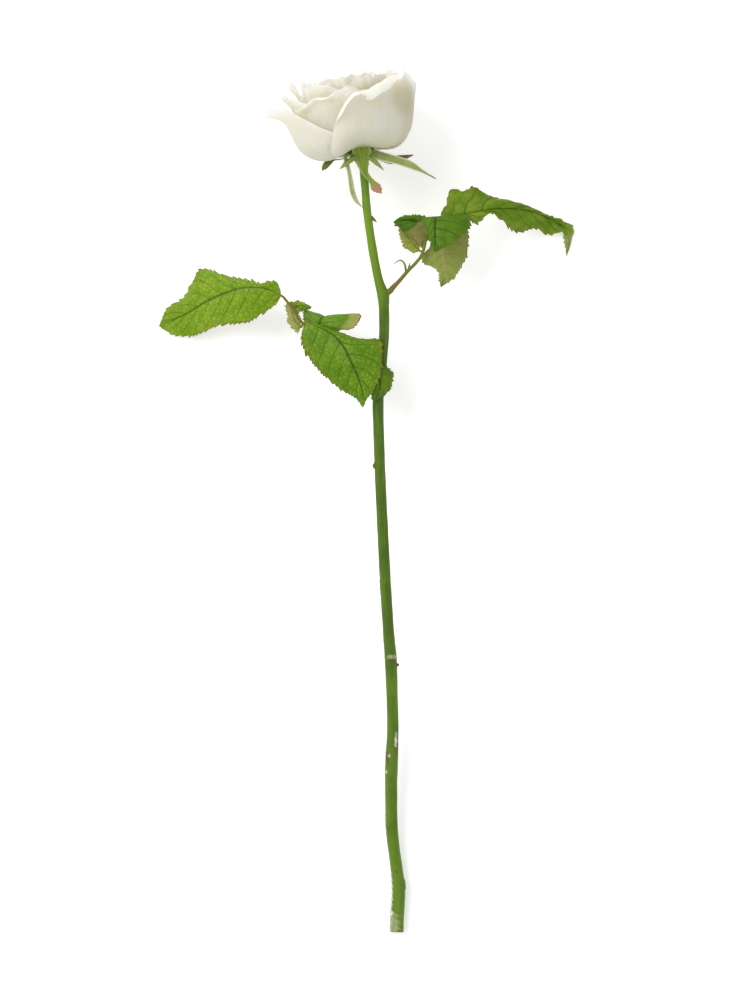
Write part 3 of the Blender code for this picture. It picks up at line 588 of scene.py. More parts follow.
# A petal is a fan of paths over the cup. Along a path the slope turns from base to wall, mixing sin(pi/2 * x)
# and x, where x = (s - flat) / bend, less a flare and a roll near its end. radius = sum of cos(slope) ds,
# height = sum of sin(slope) ds, azimuth = centre + twist * v^1.5 + u * spread / radius. Points, notches and
# fringe change a path's length, and with it the rim.
def petalGrid(petal, columns, rows, phases):
    steps = bloom["steps"]
    u = columns[None, :]
    v = np.linspace(0.0, 1.0, steps + 1)[:, None]
    depth = petal["depth"] + bloom["tuck"] * u
    seatRadius = bloom["seatRadius"] - bloom["seatShrink"] * depth
    seatHeight = bloom["seatDome"] * depth
    base = np.radians(bloom["outerSlope"] + (bloom["innerSlope"] - bloom["outerSlope"]) * depth)
    wall = math.radians(petal["wall"])
    wallRadius = bloom["cupRadius"] * (1.0 - depth) ** bloom["nesting"] + petal["swell"]
    flat = bloom["flat"] * (1.0 - depth)
    turning = base + (wall - base) * turnedBy(np.linspace(0.0, 1.0, 60)[:, None])
    bend = np.maximum(3.0, (wallRadius - seatRadius - flat * np.cos(base)) / np.cos(turning).mean(axis=0))
    low = seatHeight + flat * np.sin(base) + bend * np.sin(turning).mean(axis=0)
    length = flat + bend + np.maximum(2.0, (petal["height"] - low) / np.sin(wall))

    end = length * (1.0 - petal["corner"] * np.abs(u) ** petal["round"] + petal["slant"] * u)
    end = end + petal["fringe"] * ripple(u, phases[:4], 1.7, 2.3) * (1.0 - u**6)
    peaks = 0.75 * spikes(u / 2, petal["pointCount"], phases[4], 2.2) + 0.25 * spikes(u, 2.3, phases[5], 2.6)
    end = end + petal["points"] * (peaks - 0.3) * (1.0 - u**4)
    for place, width, deep in petal["notches"]:
        end = end - deep * bump(u, place, width)
    s = v * end
    slope = base + (wall - base) * turnedBy(np.clip((s - flat) / bend, 0, 1))
    free = 1.0 - ease((u - petal["held"]) / bloom["heldFade"])
    free = free * (bloom["edgeRoll"] + (1.0 - bloom["edgeRoll"]) * ease((u + 1.0) / bloom["edgeReach"]))
    start, peak = bloom["flareStart"], bloom["flarePeak"]
    lifted = ease((start - u) / (start - peak))
    lifted = lifted * (1.0 - bloom["edgeFlareLoss"] * ease((peak - u) / (1.0 + peak)))
    lively = 1.0 + 0.14 * ripple(u, phases[2:5], 1.7)
    for amount, reach in (
        (petal["flare"] * lifted, petal["flareLength"]),
        (petal["roll"] * free * lively, petal["rollLength"]),
    ):
        slope = slope - np.radians(amount) * ease((s - end + reach) / reach)
    stride = end / steps
    radius = seatRadius + np.cumsum(np.cos(slope) * stride, axis=0) - np.cos(slope[0]) * stride
    height = seatHeight + np.cumsum(np.sin(slope) * stride, axis=0) - np.sin(slope[0]) * stride
    share = s / length
    spread = petal["claw"] + (petal["halfWidth"] - petal["claw"]) * np.sin(
        math.pi / 2 * np.clip(share / petal["full"], 0, 1)
    )
    spread = spread * (1.0 - petal["narrow"] * late(v, bloom["narrowFrom"]))
    wave = petal["ruffle"] * np.sin(petal["waves"] * math.pi * u + petal["phase"])
    radius = radius + wave * late(v, bloom["waveFrom"])
    radius = radius + petal["cup"] * (u**2 - 0.3) * late(v, bloom["cupFrom"])
    crinkled = ripple(u + 0.25 * v, phases[1:5], 2.1, 1.8) * late(v, bloom["crinkleFrom"])
    radius = radius + petal["crinkle"] * crinkled
    radius = radius + petal["crease"] * ripple(u * 1.2, phases[3:7], 3.0) * ease((v - 0.2) / 0.3)
    azimuth = np.radians(petal["azimuth"] + petal["twist"] * v**1.5) + u * spread / np.maximum(radius, 1.5)
    radius = radius * (
        1.0 - bloom["lopsided"] * ease(share / 0.4) * np.cos(azimuth - math.radians(bloom["lopsidedAt"]))
    )
    keep = np.round(rows * steps).astype(int)
    radius, height, azimuth = radius[keep], height[keep], azimuth[keep]
    local = np.stack([radius * np.sin(azimuth), radius * np.cos(azimuth), height], axis=2)
    return saddle(local) @ bloomTurn + bloomBase


def sheetUv(columns, rows):
    across, along = np.meshgrid((columns + 1.0) / 2.0, rows)
    return np.stack([across, along], axis=2)


def addPetal(node, petal, material, columnCount, rowCount):
    columns = np.linspace(-1.0, 1.0, columnCount)
    rows = 1.0 - (1.0 - np.linspace(0.0, 1.0, rowCount)) ** 1.5
    phases = draws.uniform(0.0, 2.0 * math.pi, 8)
    grid = petalGrid(petal, columns, rows, phases)
    thin = late(rows, bloom["thinFrom"])[:, None] + 0.0 * columns[None, :]
    thickness = bloom["heelThickness"] + (bloom["rimThickness"] - bloom["heelThickness"]) * thin
    addPiece(node, shellPart(grid, thickness, sheetUv(columns, rows)), material)


def buildPetals():
    plain = petalFinish("petalSkin", petalColour)
    second = petalFinish("secondPetalSkin", secondColour)
    inner = petalFinish("innerPetalSkin", innerColour)
    # spots: tone, share, where it starts to fade, place across and along, half width, half length; the two
    # "shade" spots on the notched petal are painted shade on its right side, the "spot" ones are real tan
    # marks
    notched = petalFinish("notchedPetalSkin", dict(petalColour, heelBand=(0.5, 0.02), spots=[
        ("shade", 0.6, 3.2, 0.6, 0.76, 0.12, 0.13), ("shade", 0.45, 3.0, 0.74, 0.5, 0.14, 0.3),
        ("spot", 0.9, 1.0, 0.14, 0.955, 0.018, 0.035), ("spot", 0.65, 1.0, 0.39, 0.992, 0.045, 0.009),
    ]))
    spotted = petalFinish("spottedPetalSkin", dict(petalColour, spots=[
        ("spot", 0.85, 1.0, 0.73, 0.583, 0.009, 0.01), ("spot", 0.85, 1.0, 0.695, 0.51, 0.011, 0.012),
    ]))
    for number, petal in enumerate(guardPetals, 1):
        skin = {1: notched, 5: spotted}.get(number, plain)
        addPetal(f"guard_petal_{number}", petal, skin, *bloom["guardGrid"])
    for ring, (count, *_) in enumerate(petalRings):
        for number in range(count):
            skin = second if ring == 0 else inner
            petal = ringPetal(ring, number)
            addPetal(f"whorl_{ring + 1}_petal_{number + 1}", petal, skin, *bloom["whorlGrid"])
    print("petals:", len(guardPetals) + sum(ring[0] for ring in petalRings))


buildPetals()

# ---- hip and stamens ----
hip = dict(
    profile=[(0.0, 5.7), (0.8, 5.5), (1.86, 4.22), (2.92, 2.94), (3.98, 1.66), (5.04, 0.38), (6.6, -0.75),
             (7.1, -1.3), (7.1, -2.1), (6.7, -3.0), (5.9, -3.9), (4.9, -5.0), (4.0, -6.2), (3.3, -7.4),
             (2.8, -8.5), (2.48, -9.6), (2.3, -10.4), (0.0, -10.5)],
    rings=90, sides=48, ribs=0.06, uvFrom=-10.5, uvLength=16.0,
)
stamens = dict(count=34, seat=0.9, length=6.6, bow=0.27, thread=0.09, anther=0.24, sides=6, rings=12)
stemColour = dict(
    old=tone(66, 96, 8), young=tone(106, 140, 20), light=tone(104, 134, 34), dark=tone(52, 78, 6),
    speck=tone(150, 180, 100), rust=tone(120, 66, 44), bark=tone(92, 74, 44), pith=tone(226, 222, 196),
    pithDark=tone(188, 180, 140), grain=(420.0, 24.0, 420.0), cloudScale=45.0, speckScale=1900.0,
    reliefDepth=0.0002, lightBand=(0.42, 0.66), lightShare=0.5, darkBand=(0.45, 0.7), darkShare=0.45,
    speckBand=(0.66, 0.74), speckShare=0.35, fibreBand=(0.4, 0.62),
)


# P = axis point + radius(s) * (cos a * upper + sin a * side), radius through the profile's points
def hipPart():
    profile = curveThrough([(*point, 0.0) for point in hip["profile"]], np.linspace(0.0, 1.0, hip["rings"]))
    radius, height = profile[::-1, 0][1:-1, None], profile[::-1, 1][1:-1, None]
    angle = roundAngles(hip["sides"])
    ribbed = radius + hip["ribs"] * np.sin(5 * angle) * bump(height, -3.0, 2.5)
    local = np.stack([ribbed * np.sin(angle), ribbed * np.cos(angle), height + 0.0 * angle], axis=2)
    grid = local @ bloomTurn + bloomBase
    poles = np.array([[0.0, 0.0, profile[-1, 1]], [0.0, 0.0, profile[0, 1]]]) @ bloomTurn + bloomBase
    uv = roundUv(angle, (height - hip["uvFrom"]) / hip["uvLength"])
    return ringPart(grid, poles[0], poles[1], uv, {"young": 0.75 + 0.0 * grid[..., 0]})


# P = centre(s) + radius(s, a) * (cos a * up + sin a * side); side = tangent x Z, up = side x tangent
def tubeRings(centres, radius, angle):
    tangent = unit(np.gradient(centres, axis=0))
    side = unit(np.cross(tangent, (0.0, 0.0, 1.0)))[:, None, :]
    up = unit(np.cross(side[:, 0], tangent))[:, None, :]
    outward = np.cos(angle)[..., None] * up + np.sin(angle)[..., None] * side
    return centres[:, None, :] + radius[..., None] * outward


def roundPart(line, radii, sides, rings, marks=None, flatten=1.0):
    share = np.linspace(0.0, 1.0, rings)
    centres = curveThrough(line, share)
    radius = np.interp(share, np.linspace(0.0, 1.0, len(radii)), radii)
    angle = roundAngles(sides)
    around = radius[:, None] * (1.0 + (flatten - 1.0) * np.cos(angle) ** 2)
    grid = tubeRings(centres, around, angle)
    uv = roundUv(angle, share[:, None])
    tangent = unit(np.gradient(centres, axis=0))
    marks = {key: np.broadcast_to(value(share)[:, None], around.shape)
             for key, value in (marks or {}).items()}
    return ringPart(grid, centres[0] - 0.3 * radius[0] * tangent[0],
                    centres[-1] + 0.6 * radius[-1] * tangent[-1], uv, marks)


def stamenParts():
    parts = []
    for number in range(stamens["count"]):
        angle = 2.4 * number + draws.uniform(-0.2, 0.2)
        reach = math.sqrt((number + 0.5) / stamens["count"])
        length = stamens["length"] * draws.uniform(0.8, 1.05)
        share = np.linspace(0.0, 1.0, 5)[:, None]
        out = reach * (stamens["seat"] + stamens["bow"] * np.sin(math.pi * share))
        local = np.hstack([out * math.sin(angle), out * math.cos(angle),
                           bloom["seatDome"] - 0.4 + length * share])
        radii = [stamens["thread"]] * 8 + [stamens["anther"], stamens["anther"] * 0.9, stamens["thread"]]
        tip = {"tip": lambda s: ease((s - 0.72) / 0.08)}
        parts.append(roundPart(local @ bloomTurn + bloomBase, radii, stamens["sides"], stamens["rings"], tip))
    return parts


greenStem = stemFinish("stemSkin", stemColour)
addPiece("hip", hipPart(), greenStem)
stamenColour = dict(
    thread=tone(226, 214, 150), pollen=tone(214, 168, 70), shade=tone(150, 110, 50), shadeBand=(0.5, 0.7),
    shadeShare=0.4, grainScale=2500.0, reliefDepth=0.0001,
)
addPiece("stamens", joinParts(stamenParts()), stamenFinish("stamenDust", stamenColour))
print("hip and stamens")

# ---- stem ----
# Line points are measured from the lowest corner of the stem's box, radii beside them, both in mm.
stem = dict(
    line=[
        ((19.4, 0.1, 3.4), 3.6), ((19.5, 8.7, 3.6), 3.7), ((20.3, 21.7, 4.3), 3.6),
        ((19.4, 32.7, 5.1), 3.15), ((17, 52.7, 6.7), 3.1), ((16.5, 74.7, 8.6), 3.2),
        ((16.7, 88.7, 9.8), 3.35), ((17.3, 106.7, 11.3), 3.0), ((16.8, 126.7, 12.9), 3.0),
        ((16.2, 142.7, 14.1), 3.2), ((15.2, 154.7, 15.2), 2.95), ((13.8, 176.7, 17), 2.9),
        ((12.1, 208.7, 19.8), 2.85), ((10.8, 236.7, 22.2), 2.8), ((9.9, 262.7, 24.5), 2.8),
        ((9.7, 276.7, 25.8), 2.85), ((11, 290.7, 27.1), 2.7), ((12.7, 308.7, 28.8), 2.6),
        ((12.8, 323.7, 30.3), 2.75), ((12, 332.7, 31.1), 2.9), ((9.7, 340.7, 31.9), 2.35),
        ((6.8, 355.7, 33.4), 2.25), ((4, 374.7, 35.2), 2.15), ((2.9, 387.7, 36), 2.1),
        ((1.98, 398.8, 36.45), 2.1),
    ],
    rings=640, sides=40, capRings=7,
    # place along, degrees from the top towards +X, half length, half angle, height in mm, mark, share
    features=[
        (3.0, -36.0, 8.0, 60.0, 0.15, "pith", 0.32), (14.0, -82.0, 15.0, 24.0, -0.55, "pith", 0.85),
        (25.0, 80.0, 3.0, 30.0, 0.35, "bark", 0.3),
        (9.7, -48.0, 1.6, 14.0, 0.25, "pith", 1.0), (31.5, -6.0, 0.7, 9.0, -0.1, "bark", 1.0),
        (57.2, -84.0, 5.8, 16.0, 0.25, "pith", 0.55), (84.0, -52.0, 0.9, 12.0, 0.1, "pith", 0.9),
        (92.0, -44.0, 3.4, 26.0, 0.35, "bark", 0.85), (92.4, -24.0, 1.1, 10.0, 0.2, "pith", 0.7),
        (100.6, 38.0, 4.6, 26.0, 0.1, "bark", 0.9), (100.6, 36.0, 3.4, 18.0, -0.15, "pith", 1.0),
        (143.9, 20.0, 1.1, 75.0, 0.35, "pith", 0.4), (141.6, 40.0, 1.4, 40.0, -0.2, "bark", 0.45),
        (157.9, -2.0, 0.5, 16.0, 0.05, "bark", 0.9), (181.3, -84.0, 4.4, 12.0, 0.2, "bark", 0.55),
        (243.6, -88.0, 1.6, 16.0, 1.0, "bark", 0.2), (330.5, 60.0, 2.6, 50.0, 0.35, "rust", 0.0),
    ],
)
stemLow = np.array(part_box("stem")[0]) / mm


def stemPart():
    share = np.linspace(0.0, 1.0, stem["rings"])
    centres = curveThrough([point for point, _ in stem["line"]], share) + stemLow
    along = centres[:, 1] - stemLow[1]
    smooth = curveThrough([(point[1], radius, 0.0) for point, radius in stem["line"]],
                          np.linspace(0.0, 1.0, 400))
    radius = np.interp(along, smooth[:, 0], smooth[:, 1])[:, None]
    angle = roundAngles(stem["sides"])
    along = along[:, None]
    radius = radius * (1.0 + 0.012 * np.sin(3 * angle + along * 0.02)
                       + 0.008 * np.sin(5 * angle - along * 0.05))
    radius = radius + 0.05 * np.sin(along * 0.42) * np.sin(angle * 2 + along * 0.11)
    marks = {mark: 0.0 * radius for mark in ("pith", "bark", "rust")}
    for place, turn, halfLength, halfAngle, height, mark, amount in stem["features"]:
        apart = np.degrees(np.angle(np.exp(1j * (angle - math.radians(turn)))))
        ragged = 1.0 + 0.25 * np.sin(along * 1.9 + 3 * angle) + 0.15 * np.sin(along * 4.7 + angle * 7)
        far = np.sqrt(((along - place) / halfLength) ** 2 + (apart / halfAngle) ** 2) * ragged
        inside = 1.0 - ease((far - 0.55) / 0.6)
        radius = radius + height * inside
        marks[mark] = np.maximum(marks[mark], amount * inside)
    marks["young"] = ease((along - 300.0) / 70.0) + 0.45 * (1.0 - ease((along - 60.0) / 200.0)) + 0.0 * angle
    grid = tubeRings(centres, radius, angle)
    shares = np.linspace(0.15, 0.96, stem["capRings"])[:, None, None]
    torn = 0.35 * np.sin(angle * 5)[0][None, :, None] * shares * (1 - shares) * 4
    capStart = centres[0] + shares * (grid[0] - centres[0])[None] + torn * np.array([0.0, -1.0, 0.0])
    capEnd = centres[-1] + shares[::-1] * (grid[-1] - centres[-1])[None]
    zero = np.zeros(capStart.shape[:2])
    marks = {key: np.vstack([zero, value, zero]) for key, value in marks.items()}
    marks["pith"][: stem["capRings"]] = 1.0
    marks["young"][-stem["capRings"] :] = 1.0
    grid = np.vstack([capStart, grid, capEnd])
    uv = roundUv(angle, np.linspace(0, 1, len(grid))[:, None])
    return ringPart(grid, centres[0], centres[-1], uv, marks)


thorn = dict(line=[(6.0, 372.0, 34.9), (7.6, 370.9, 35.1), (9.0, 369.6, 35.3)], radii=[1.3, 0.75, 0.12])
spur = dict(line=[(13.6, 138.8, 13.7), (17.6, 139.1, 13.8), (20.2, 139.7, 13.9)], radii=[1.5, 1.2, 0.8])


def addStem():
    sharp = roundPart(
        np.array(thorn["line"]) + stemLow, thorn["radii"], 12, 14,
        {"rust": lambda s: 0.55 + 0.4 * s, "young": lambda s: 1.0 + 0.0 * s},
    )
    stub = roundPart(np.array(spur["line"]) + stemLow, spur["radii"], 14, 12,
                     {"bark": lambda s: ease(s / 0.7)})
    addPiece("stem", joinParts([stemPart(), sharp, stub]), greenStem)
    print("stem")


addStem()

# ---- leaves ----
# Every leaflet is three curves from its base to its tip: the midrib and both margins. Points are
# measured from the lowest corner of the leaf stalk's box, in mm.
leftLeaf = {
    "terminal": dict(
        base=(-0.6, 41.9, 0.6), tip=(-64.6, 26.5, -26.7),
        mid=[(-6.1, 44.7, 1.6), (-14.1, 46.4, 1), (-24.1, 45.4, -2.5), (-38.1, 39.7, -11),
             (-52.1, 31.9, -20.5)],
        left=[(-3.9, 37.3, 0), (-11.1, 32.8, -2), (-19.1, 28.4, -5), (-32.1, 27.4, -11.5), (-45.1, 22.4, -19),
              (-56.1, 22, -24.4)],
        right=[(-2.5, 47.9, 1), (-7.1, 49.2, 1.6), (-11.3, 47.9, 1), (-18.1, 49.7, -0.4), (-29.1, 51.9, -4.5),
               (-42.1, 55.6, -11.5), (-47.1, 48.4, -16), (-52.1, 40.4, -21), (-59.7, 35.9, -24.5)],
        teeth=24, veins=9,
    ),
    "right_upper": dict(
        base=(12.3, 28.6, 3.3), tip=(41.8, -16.2, 6),
        mid=[(19.5, 25.4, 5.8), (26.9, 21.2, 7.6), (31.9, 15.2, 8.8), (35.9, 6.9, 9.6), (39.5, -1.1, 9.3),
             (41.9, -9.1, 8)],
        left=[(18.9, 26.7, 4.4), (27.9, 23.3, 6), (38.9, 19.5, 7.2), (50.2, 18.4, 7.6), (51.5, 11.1, 7.8),
              (50.8, 1.9, 7.6), (47.2, -7.1, 7.2), (43.5, -12.1, 6.6)],
        right=[(10.5, 22.9, 3), (10.4, 17.5, 2.8), (14.4, 9.3, 3), (20.9, 1.9, 3.4), (29.9, -6.1, 4.4),
               (37.9, -10.9, 5.4)],
        teeth=22, veins=8,
    ),
    "left_upper": dict(
        base=(9.5, 25.5, -0.4), tip=(15.1, 36, -0.1),
        mid=[(6.6, 28.9, -1), (5.5, 33.5, -1.4), (8.5, 36.5, -1)],
        left=[(7.9, 23.1, -0.8), (4.5, 26.5, -1.6), (3.1, 31.9, -2.2), (2.5, 36.8, -2.4), (8.3, 38.8, -1.8)],
        right=[(8.7, 29.3, -0.4), (8, 32.5, -0.6), (9.9, 34.1, -0.2)],
        teeth=12, veins=5, turned=lambda across, along: 1.0 - ease((along - 0.5) / 0.14),
    ),
    "left_lower": dict(
        base=(20.3, 18.5, 0.4), tip=(22.9, 28.4, -13),
        mid=[(19, 22.5, 0), (19.3, 27.7, 2.4), (21, 30.8, 1), (22.1, 30.9, -5)],
        left=[(15.9, 21.7, -0.8), (12.1, 28.4, -1.1), (11.6, 33.7, -1.4), (16.4, 33.1, -6)],
        right=[(24.4, 20.7, 0.4), (29.9, 24.1, 3), (34.7, 24.3, 5), (39.5, 28.3, 5.4), (39.9, 32.1, 2.6),
               (32.9, 32.4, -3), (26.4, 31.1, -9)],
        teeth=15, veins=6,
        turned=lambda across, along: ease((across - 0.66) / 0.06) * ease((0.17 - abs(along - 0.46)) / 0.04),
    ),
    "right_lower": dict(
        base=(42.1, 4.7, 5.6), tip=(47.2, -12.9, 4.2),
        mid=[(46.7, 1.9, 5.8), (50.5, -2.6, 5.4), (50.3, -8.1, 4.8)],
        left=[(46.5, 6.3, 5.4), (51.2, 5.9, 5), (56.7, 1.5, 3.2), (56.5, -4.1, 3), (53.9, -8.9, 3.6),
              (50.2, -11.1, 3.9)],
        right=[(42.3, 0.5, 5.4), (44.5, -4.5, 5.2), (46.5, -8.9, 4.8)],
        teeth=14, veins=6,
    ),
}
rightLeaf = {
    "terminal": dict(
        base=(30.5, 38, 0), tip=(93.3, 19.7, -30),
        mid=[(35.1, 39.8, -0.4), (41.1, 41, -1.4), (53.4, 43.1, -5), (67.7, 43.8, -11.7), (78.1, 41.7, -17.8),
             (87.6, 37.3, -23.8), (92.7, 33.7, -27.4), (94.3, 27.5, -29.1)],
        left=[(27.5, 40.6, 0.8), (30.5, 45.5, 1.6), (32.5, 52.5, 2.4), (40.1, 52.5, 0.8), (45.1, 54.5, -1),
              (54.1, 49.9, -5.8), (70.8, 46.1, -13.4), (82.1, 41.1, -21.2), (95.5, 35.3, -27.8),
              (95.8, 28.5, -29)],
        right=[(33.1, 36.5, -0.4), (41.1, 38.5, -2.2), (46.1, 36.5, -4), (53.3, 41.7, -5.8),
               (59.1, 38.5, -8.8), (67.1, 32.2, -14.4), (77.1, 34.1, -19.8), (84.1, 31, -23.6),
               (91.1, 32.1, -27.8), (92.7, 25.5, -29.3)],
        teeth=22, veins=9, turned=lambda across, along: ease((along - 0.86) / 0.05),
        detail=dict(quilt=0.75, veinSunk=0.3),
    ),
    "left_upper": dict(
        base=(25.5, 36.1, 4.4), tip=(24.3, 20.8, 10.8),
        mid=[(25.5, 38.5, 5.4), (24.6, 39.1, 8), (24.3, 34.5, 11.2), (24.3, 27.5, 12.2)],
        left=[(21.9, 38.1, 5.2), (18.7, 38.1, 7), (19.7, 34.7, 9), (21.1, 30.1, 10.8), (23.1, 24.1, 11.2)],
        right=[(33.1, 39.5, 3.6), (40.5, 40.7, 3.4), (42.4, 37.5, 5.8), (41.5, 33.1, 8.2), (35.5, 27.5, 10.8),
               (29.1, 23.5, 11.4)],
        teeth=13, veins=6, turned=lambda across, along: 1.0,
    ),
    "right_upper": dict(
        base=(24.5, 31.9, 0.5), tip=(27.6, 2.9, -5),
        mid=[(26.7, 27.5, 0.5), (27.5, 22.3, -0.4), (28.7, 16, -1.8), (29.1, 9.5, -3.2)],
        left=[(23.3, 28.5, 0.2), (22.1, 23.5, -0.2), (18.3, 19.9, -0.6), (18.7, 15.7, -1.2),
              (24.1, 13.1, -2.2), (26.7, 10.1, -3.2), (27, 6.1, -4)],
        right=[(32.1, 34.1, -0.2), (40.5, 31.9, -1.8), (41.3, 24.5, -3), (39.7, 17.1, -3.8),
               (34.1, 8.1, -4.6)],
        teeth=16, veins=7,
    ),
    "left_lower": dict(
        base=(17.3, 23.9, 0.8), tip=(2.9, 36.8, 3.2),
        mid=[(19.1, 29.1, 0), (18.5, 34.1, 0.4), (13.7, 37.3, 1.6), (8.1, 37.7, 2.6)],
        left=[(14.1, 27.7, 0.4), (9.9, 31.4, 0.8), (6.1, 34.3, 1.8)],
        right=[(20.7, 28, -0.4), (22.3, 33.5, -0.6), (21.3, 38.5, 1), (14.6, 39.9, 3.2), (8.1, 39.5, 3.8)],
        teeth=12, veins=5, turned=lambda across, along: 1.0 - ease((along - 0.5) / 0.06),
    ),
    "right_lower": dict(
        base=(16.4, 21.7, 0.8), tip=(6.1, 34.3, -6.2),
        mid=[(13.3, 24.9, -1.6), (10, 29.1, -4)],
        left=[(13.7, 21.3, -0.4), (9.1, 23.9, -2.4), (6.7, 29.5, -4.6)],
        right=[(15.5, 26.7, -2.8), (13.7, 31.9, -5.4), (9.7, 35.1, -6.4)],
        teeth=12, veins=5, turned=lambda across, along: 1.0,
    ),
}
blade = dict(
    thickness=0.42, edgeThickness=0.2, arch=0.8, toothDepth=1.7, toothLean=1.3, rowsPerTooth=8, endWidth=0.35,
    veinSlant=0.2, veinSunk=0.18, quilt=0.36, midribSunk=0.3, lowest=0.12, teethFrom=0.8, thinFrom=0.4,
)
bladeColumns = np.array([-1, -0.97, -0.93, -0.86, -0.76, -0.64, -0.52, -0.4, -0.29, -0.19, -0.11, -0.05,
                         -0.02, 0.0])
bladeColumns = np.concatenate([bladeColumns, -bladeColumns[-2::-1]])
leafColour = dict(
    upper=tone(128, 162, 22), upperLight=tone(148, 178, 44), upperDark=tone(108, 146, 14),
    vein=tone(84, 124, 16), midrib=tone(72, 106, 20), lower=tone(156, 164, 84),
    lowerLight=tone(170, 178, 100), lowerVein=tone(136, 136, 70), lowerMidrib=tone(176, 158, 104),
    edge=tone(122, 80, 40), netShare=0.5, veinShare=0.75, midribShare=0.85, edgeShare=0.8,
    slant=blade["veinSlant"], cells=430.0, gloss=0.36, underGloss=0.72, through=0.18,
    veinWidth=0.085, midribWidth=0.07, netWidth=0.22, grainScale=1500.0, cloudScale=70.0, blotchScale=260.0,
    blotchShare=0.55, reliefDepth=0.00025, lightBand=(0.35, 0.68), blotchBand=(0.45, 0.75),
    lowerBand=(0.3, 0.7), lowerNetShare=0.3, lowerVeinShare=0.6, lowerMidribShare=0.9, edgeFrom=0.975,
    edgeRagged=0.04,
)
leafTints = {
    "left_terminal": {},
    "left_right_upper": dict(upper=tone(104, 146, 12), upperLight=tone(126, 162, 30),
                             upperDark=tone(78, 124, 6), vein=tone(66, 104, 8), midrib=tone(56, 80, 14)),
    "left_left_upper": dict(upper=tone(86, 126, 12), upperDark=tone(64, 104, 10)),
    "left_left_lower": dict(upper=tone(104, 146, 20), upperLight=tone(120, 160, 30),
                            upperDark=tone(80, 126, 14)),
    "left_right_lower": dict(upper=tone(76, 108, 4), upperLight=tone(104, 134, 24),
                             upperDark=tone(60, 90, 4)),
    "right_terminal": dict(upper=tone(96, 132, 4), upperLight=tone(134, 162, 44), upperDark=tone(78, 114, 4),
                           vein=tone(76, 110, 8), midrib=tone(128, 152, 60), midribShare=0.5, netShare=0.18),
    "right_left_upper": dict(upper=tone(80, 122, 10), upperLight=tone(100, 138, 24),
                             upperDark=tone(58, 98, 6), vein=tone(48, 80, 8), midrib=tone(44, 70, 10),
                             netShare=0.12),
    "right_right_upper": dict(lower=tone(144, 158, 74), lowerLight=tone(156, 170, 84),
                              upper=tone(96, 128, 30)),
    "right_left_lower": dict(lower=tone(132, 134, 72), lowerLight=tone(142, 144, 84), upper=tone(76, 116, 16),
                             upperLight=tone(96, 134, 30), upperDark=tone(56, 94, 10)),
    "right_right_lower": dict(lower=tone(146, 154, 62), lowerLight=tone(156, 164, 74)),
}


# saw(p): rises as p^1.2 to 1 at p = 0.8 and drops to 0 at p = 1, p = place along the margin in teeth
def sawTeeth(t, count, phase):
    wander = 0.45 * np.sin(5.3 * math.pi * t + phase) + 0.22 * np.sin(13.1 * math.pi * t + 2 * phase)
    place = (count * t + wander) % 1.0
    size = 0.74 + 0.16 * np.sin(7.7 * math.pi * t + 3 * phase) + 0.14 * np.sin(17.3 * math.pi * t + 5 * phase)
    return size * np.where(place < 0.8, (place / 0.8) ** 1.2, (1.0 - place) / 0.2)


def paleShare(shape, across, along):  # how far a leaflet shows its pale underside to +Z, 0 to 1
    return shape["turned"](across, along) + 0.0 * along if "turned" in shape else 0.0 * along


# the left margin, midrib and right margin at t; the margins start and end half a width from the midrib
def bladeOutlines(shape, detail, t):
    first, last = (unit(np.array(shape["right"][end]) - shape["left"][end]) / 2 for end in (0, -1))
    first, last = first * shape.get("baseWidth", detail["endWidth"]), last * detail["endWidth"]
    ends = np.array(shape["base"]), np.array(shape["tip"])
    return [
        curveThrough([ends[0] + side * first, *shape[name], ends[1] + side * last], t)
        for side, name in ((-1.0, "left"), (0.0, "mid"), (1.0, "right"))
    ]


# P(u, t) = mid(t) + |u| * (margin(t) - mid(t)) + arch; teeth push the margin out and forwards,
# veins sink along t - slant * |u|^1.15 = whole steps and the leaf swells between them
def bladeGrid(shape, origin, t, columns, detail, phase):
    left, mid, right = (curve + origin for curve in bladeOutlines(shape, detail, t))
    u = columns[None, :, None]
    margin = np.where(u < 0, left[:, None, :], right[:, None, :])
    size = np.abs(u)
    grid = mid[:, None, :] + size * (margin - mid[:, None, :])
    grid[..., 2] += detail["arch"] * 4 * (size * (1 - size))[..., 0] * np.sin(math.pi * t)[:, None]
    envelope = np.clip(np.sin(math.pi * t) * 3.0, 0.0, 1.0)[:, None]
    if shape.get("teeth"):
        outward = unit(margin - mid[:, None, :])
        forward = unit(np.gradient(grid, axis=0))
        leftTeeth = sawTeeth(t, shape["teeth"], phase)[:, None]
        saw = np.where(columns[None, :] < 0, leftTeeth, sawTeeth(t, shape["teeth"] + 1, phase + 2)[:, None])
        reach = (saw * envelope * late(size[..., 0], detail["teethFrom"]))[..., None]
        grid = grid + reach * (detail["toothDepth"] * outward + detail["toothLean"] * forward)
    if shape.get("veins"):
        flatSize = size[..., 0]
        place = shape["veins"] * (t[:, None] - detail["veinSlant"] * flatSize**1.15)
        fromVein = np.abs((place + 0.5) % 1.0 - 0.5)
        swell = detail["quilt"] * (1.0 - (1.0 - 2 * fromVein) ** 2) * flatSize * (1.0 - flatSize) * 4
        sunk = detail["veinSunk"] * bump(fromVein, 0.0, 0.1) * (1.0 - flatSize)
        sunk = sunk + detail["midribSunk"] * bump(flatSize, 0.0, 0.05)
        lift = (swell - sunk) * envelope
        facing = 1.0 - 2.0 * paleShare(shape, columns[None, :], t[:, None])
        grid = grid + (lift * facing)[..., None] * gridNormals(grid)
    grid[..., 2] = np.maximum(grid[..., 2], detail["lowest"] + detail["thickness"] / 2)
    return grid


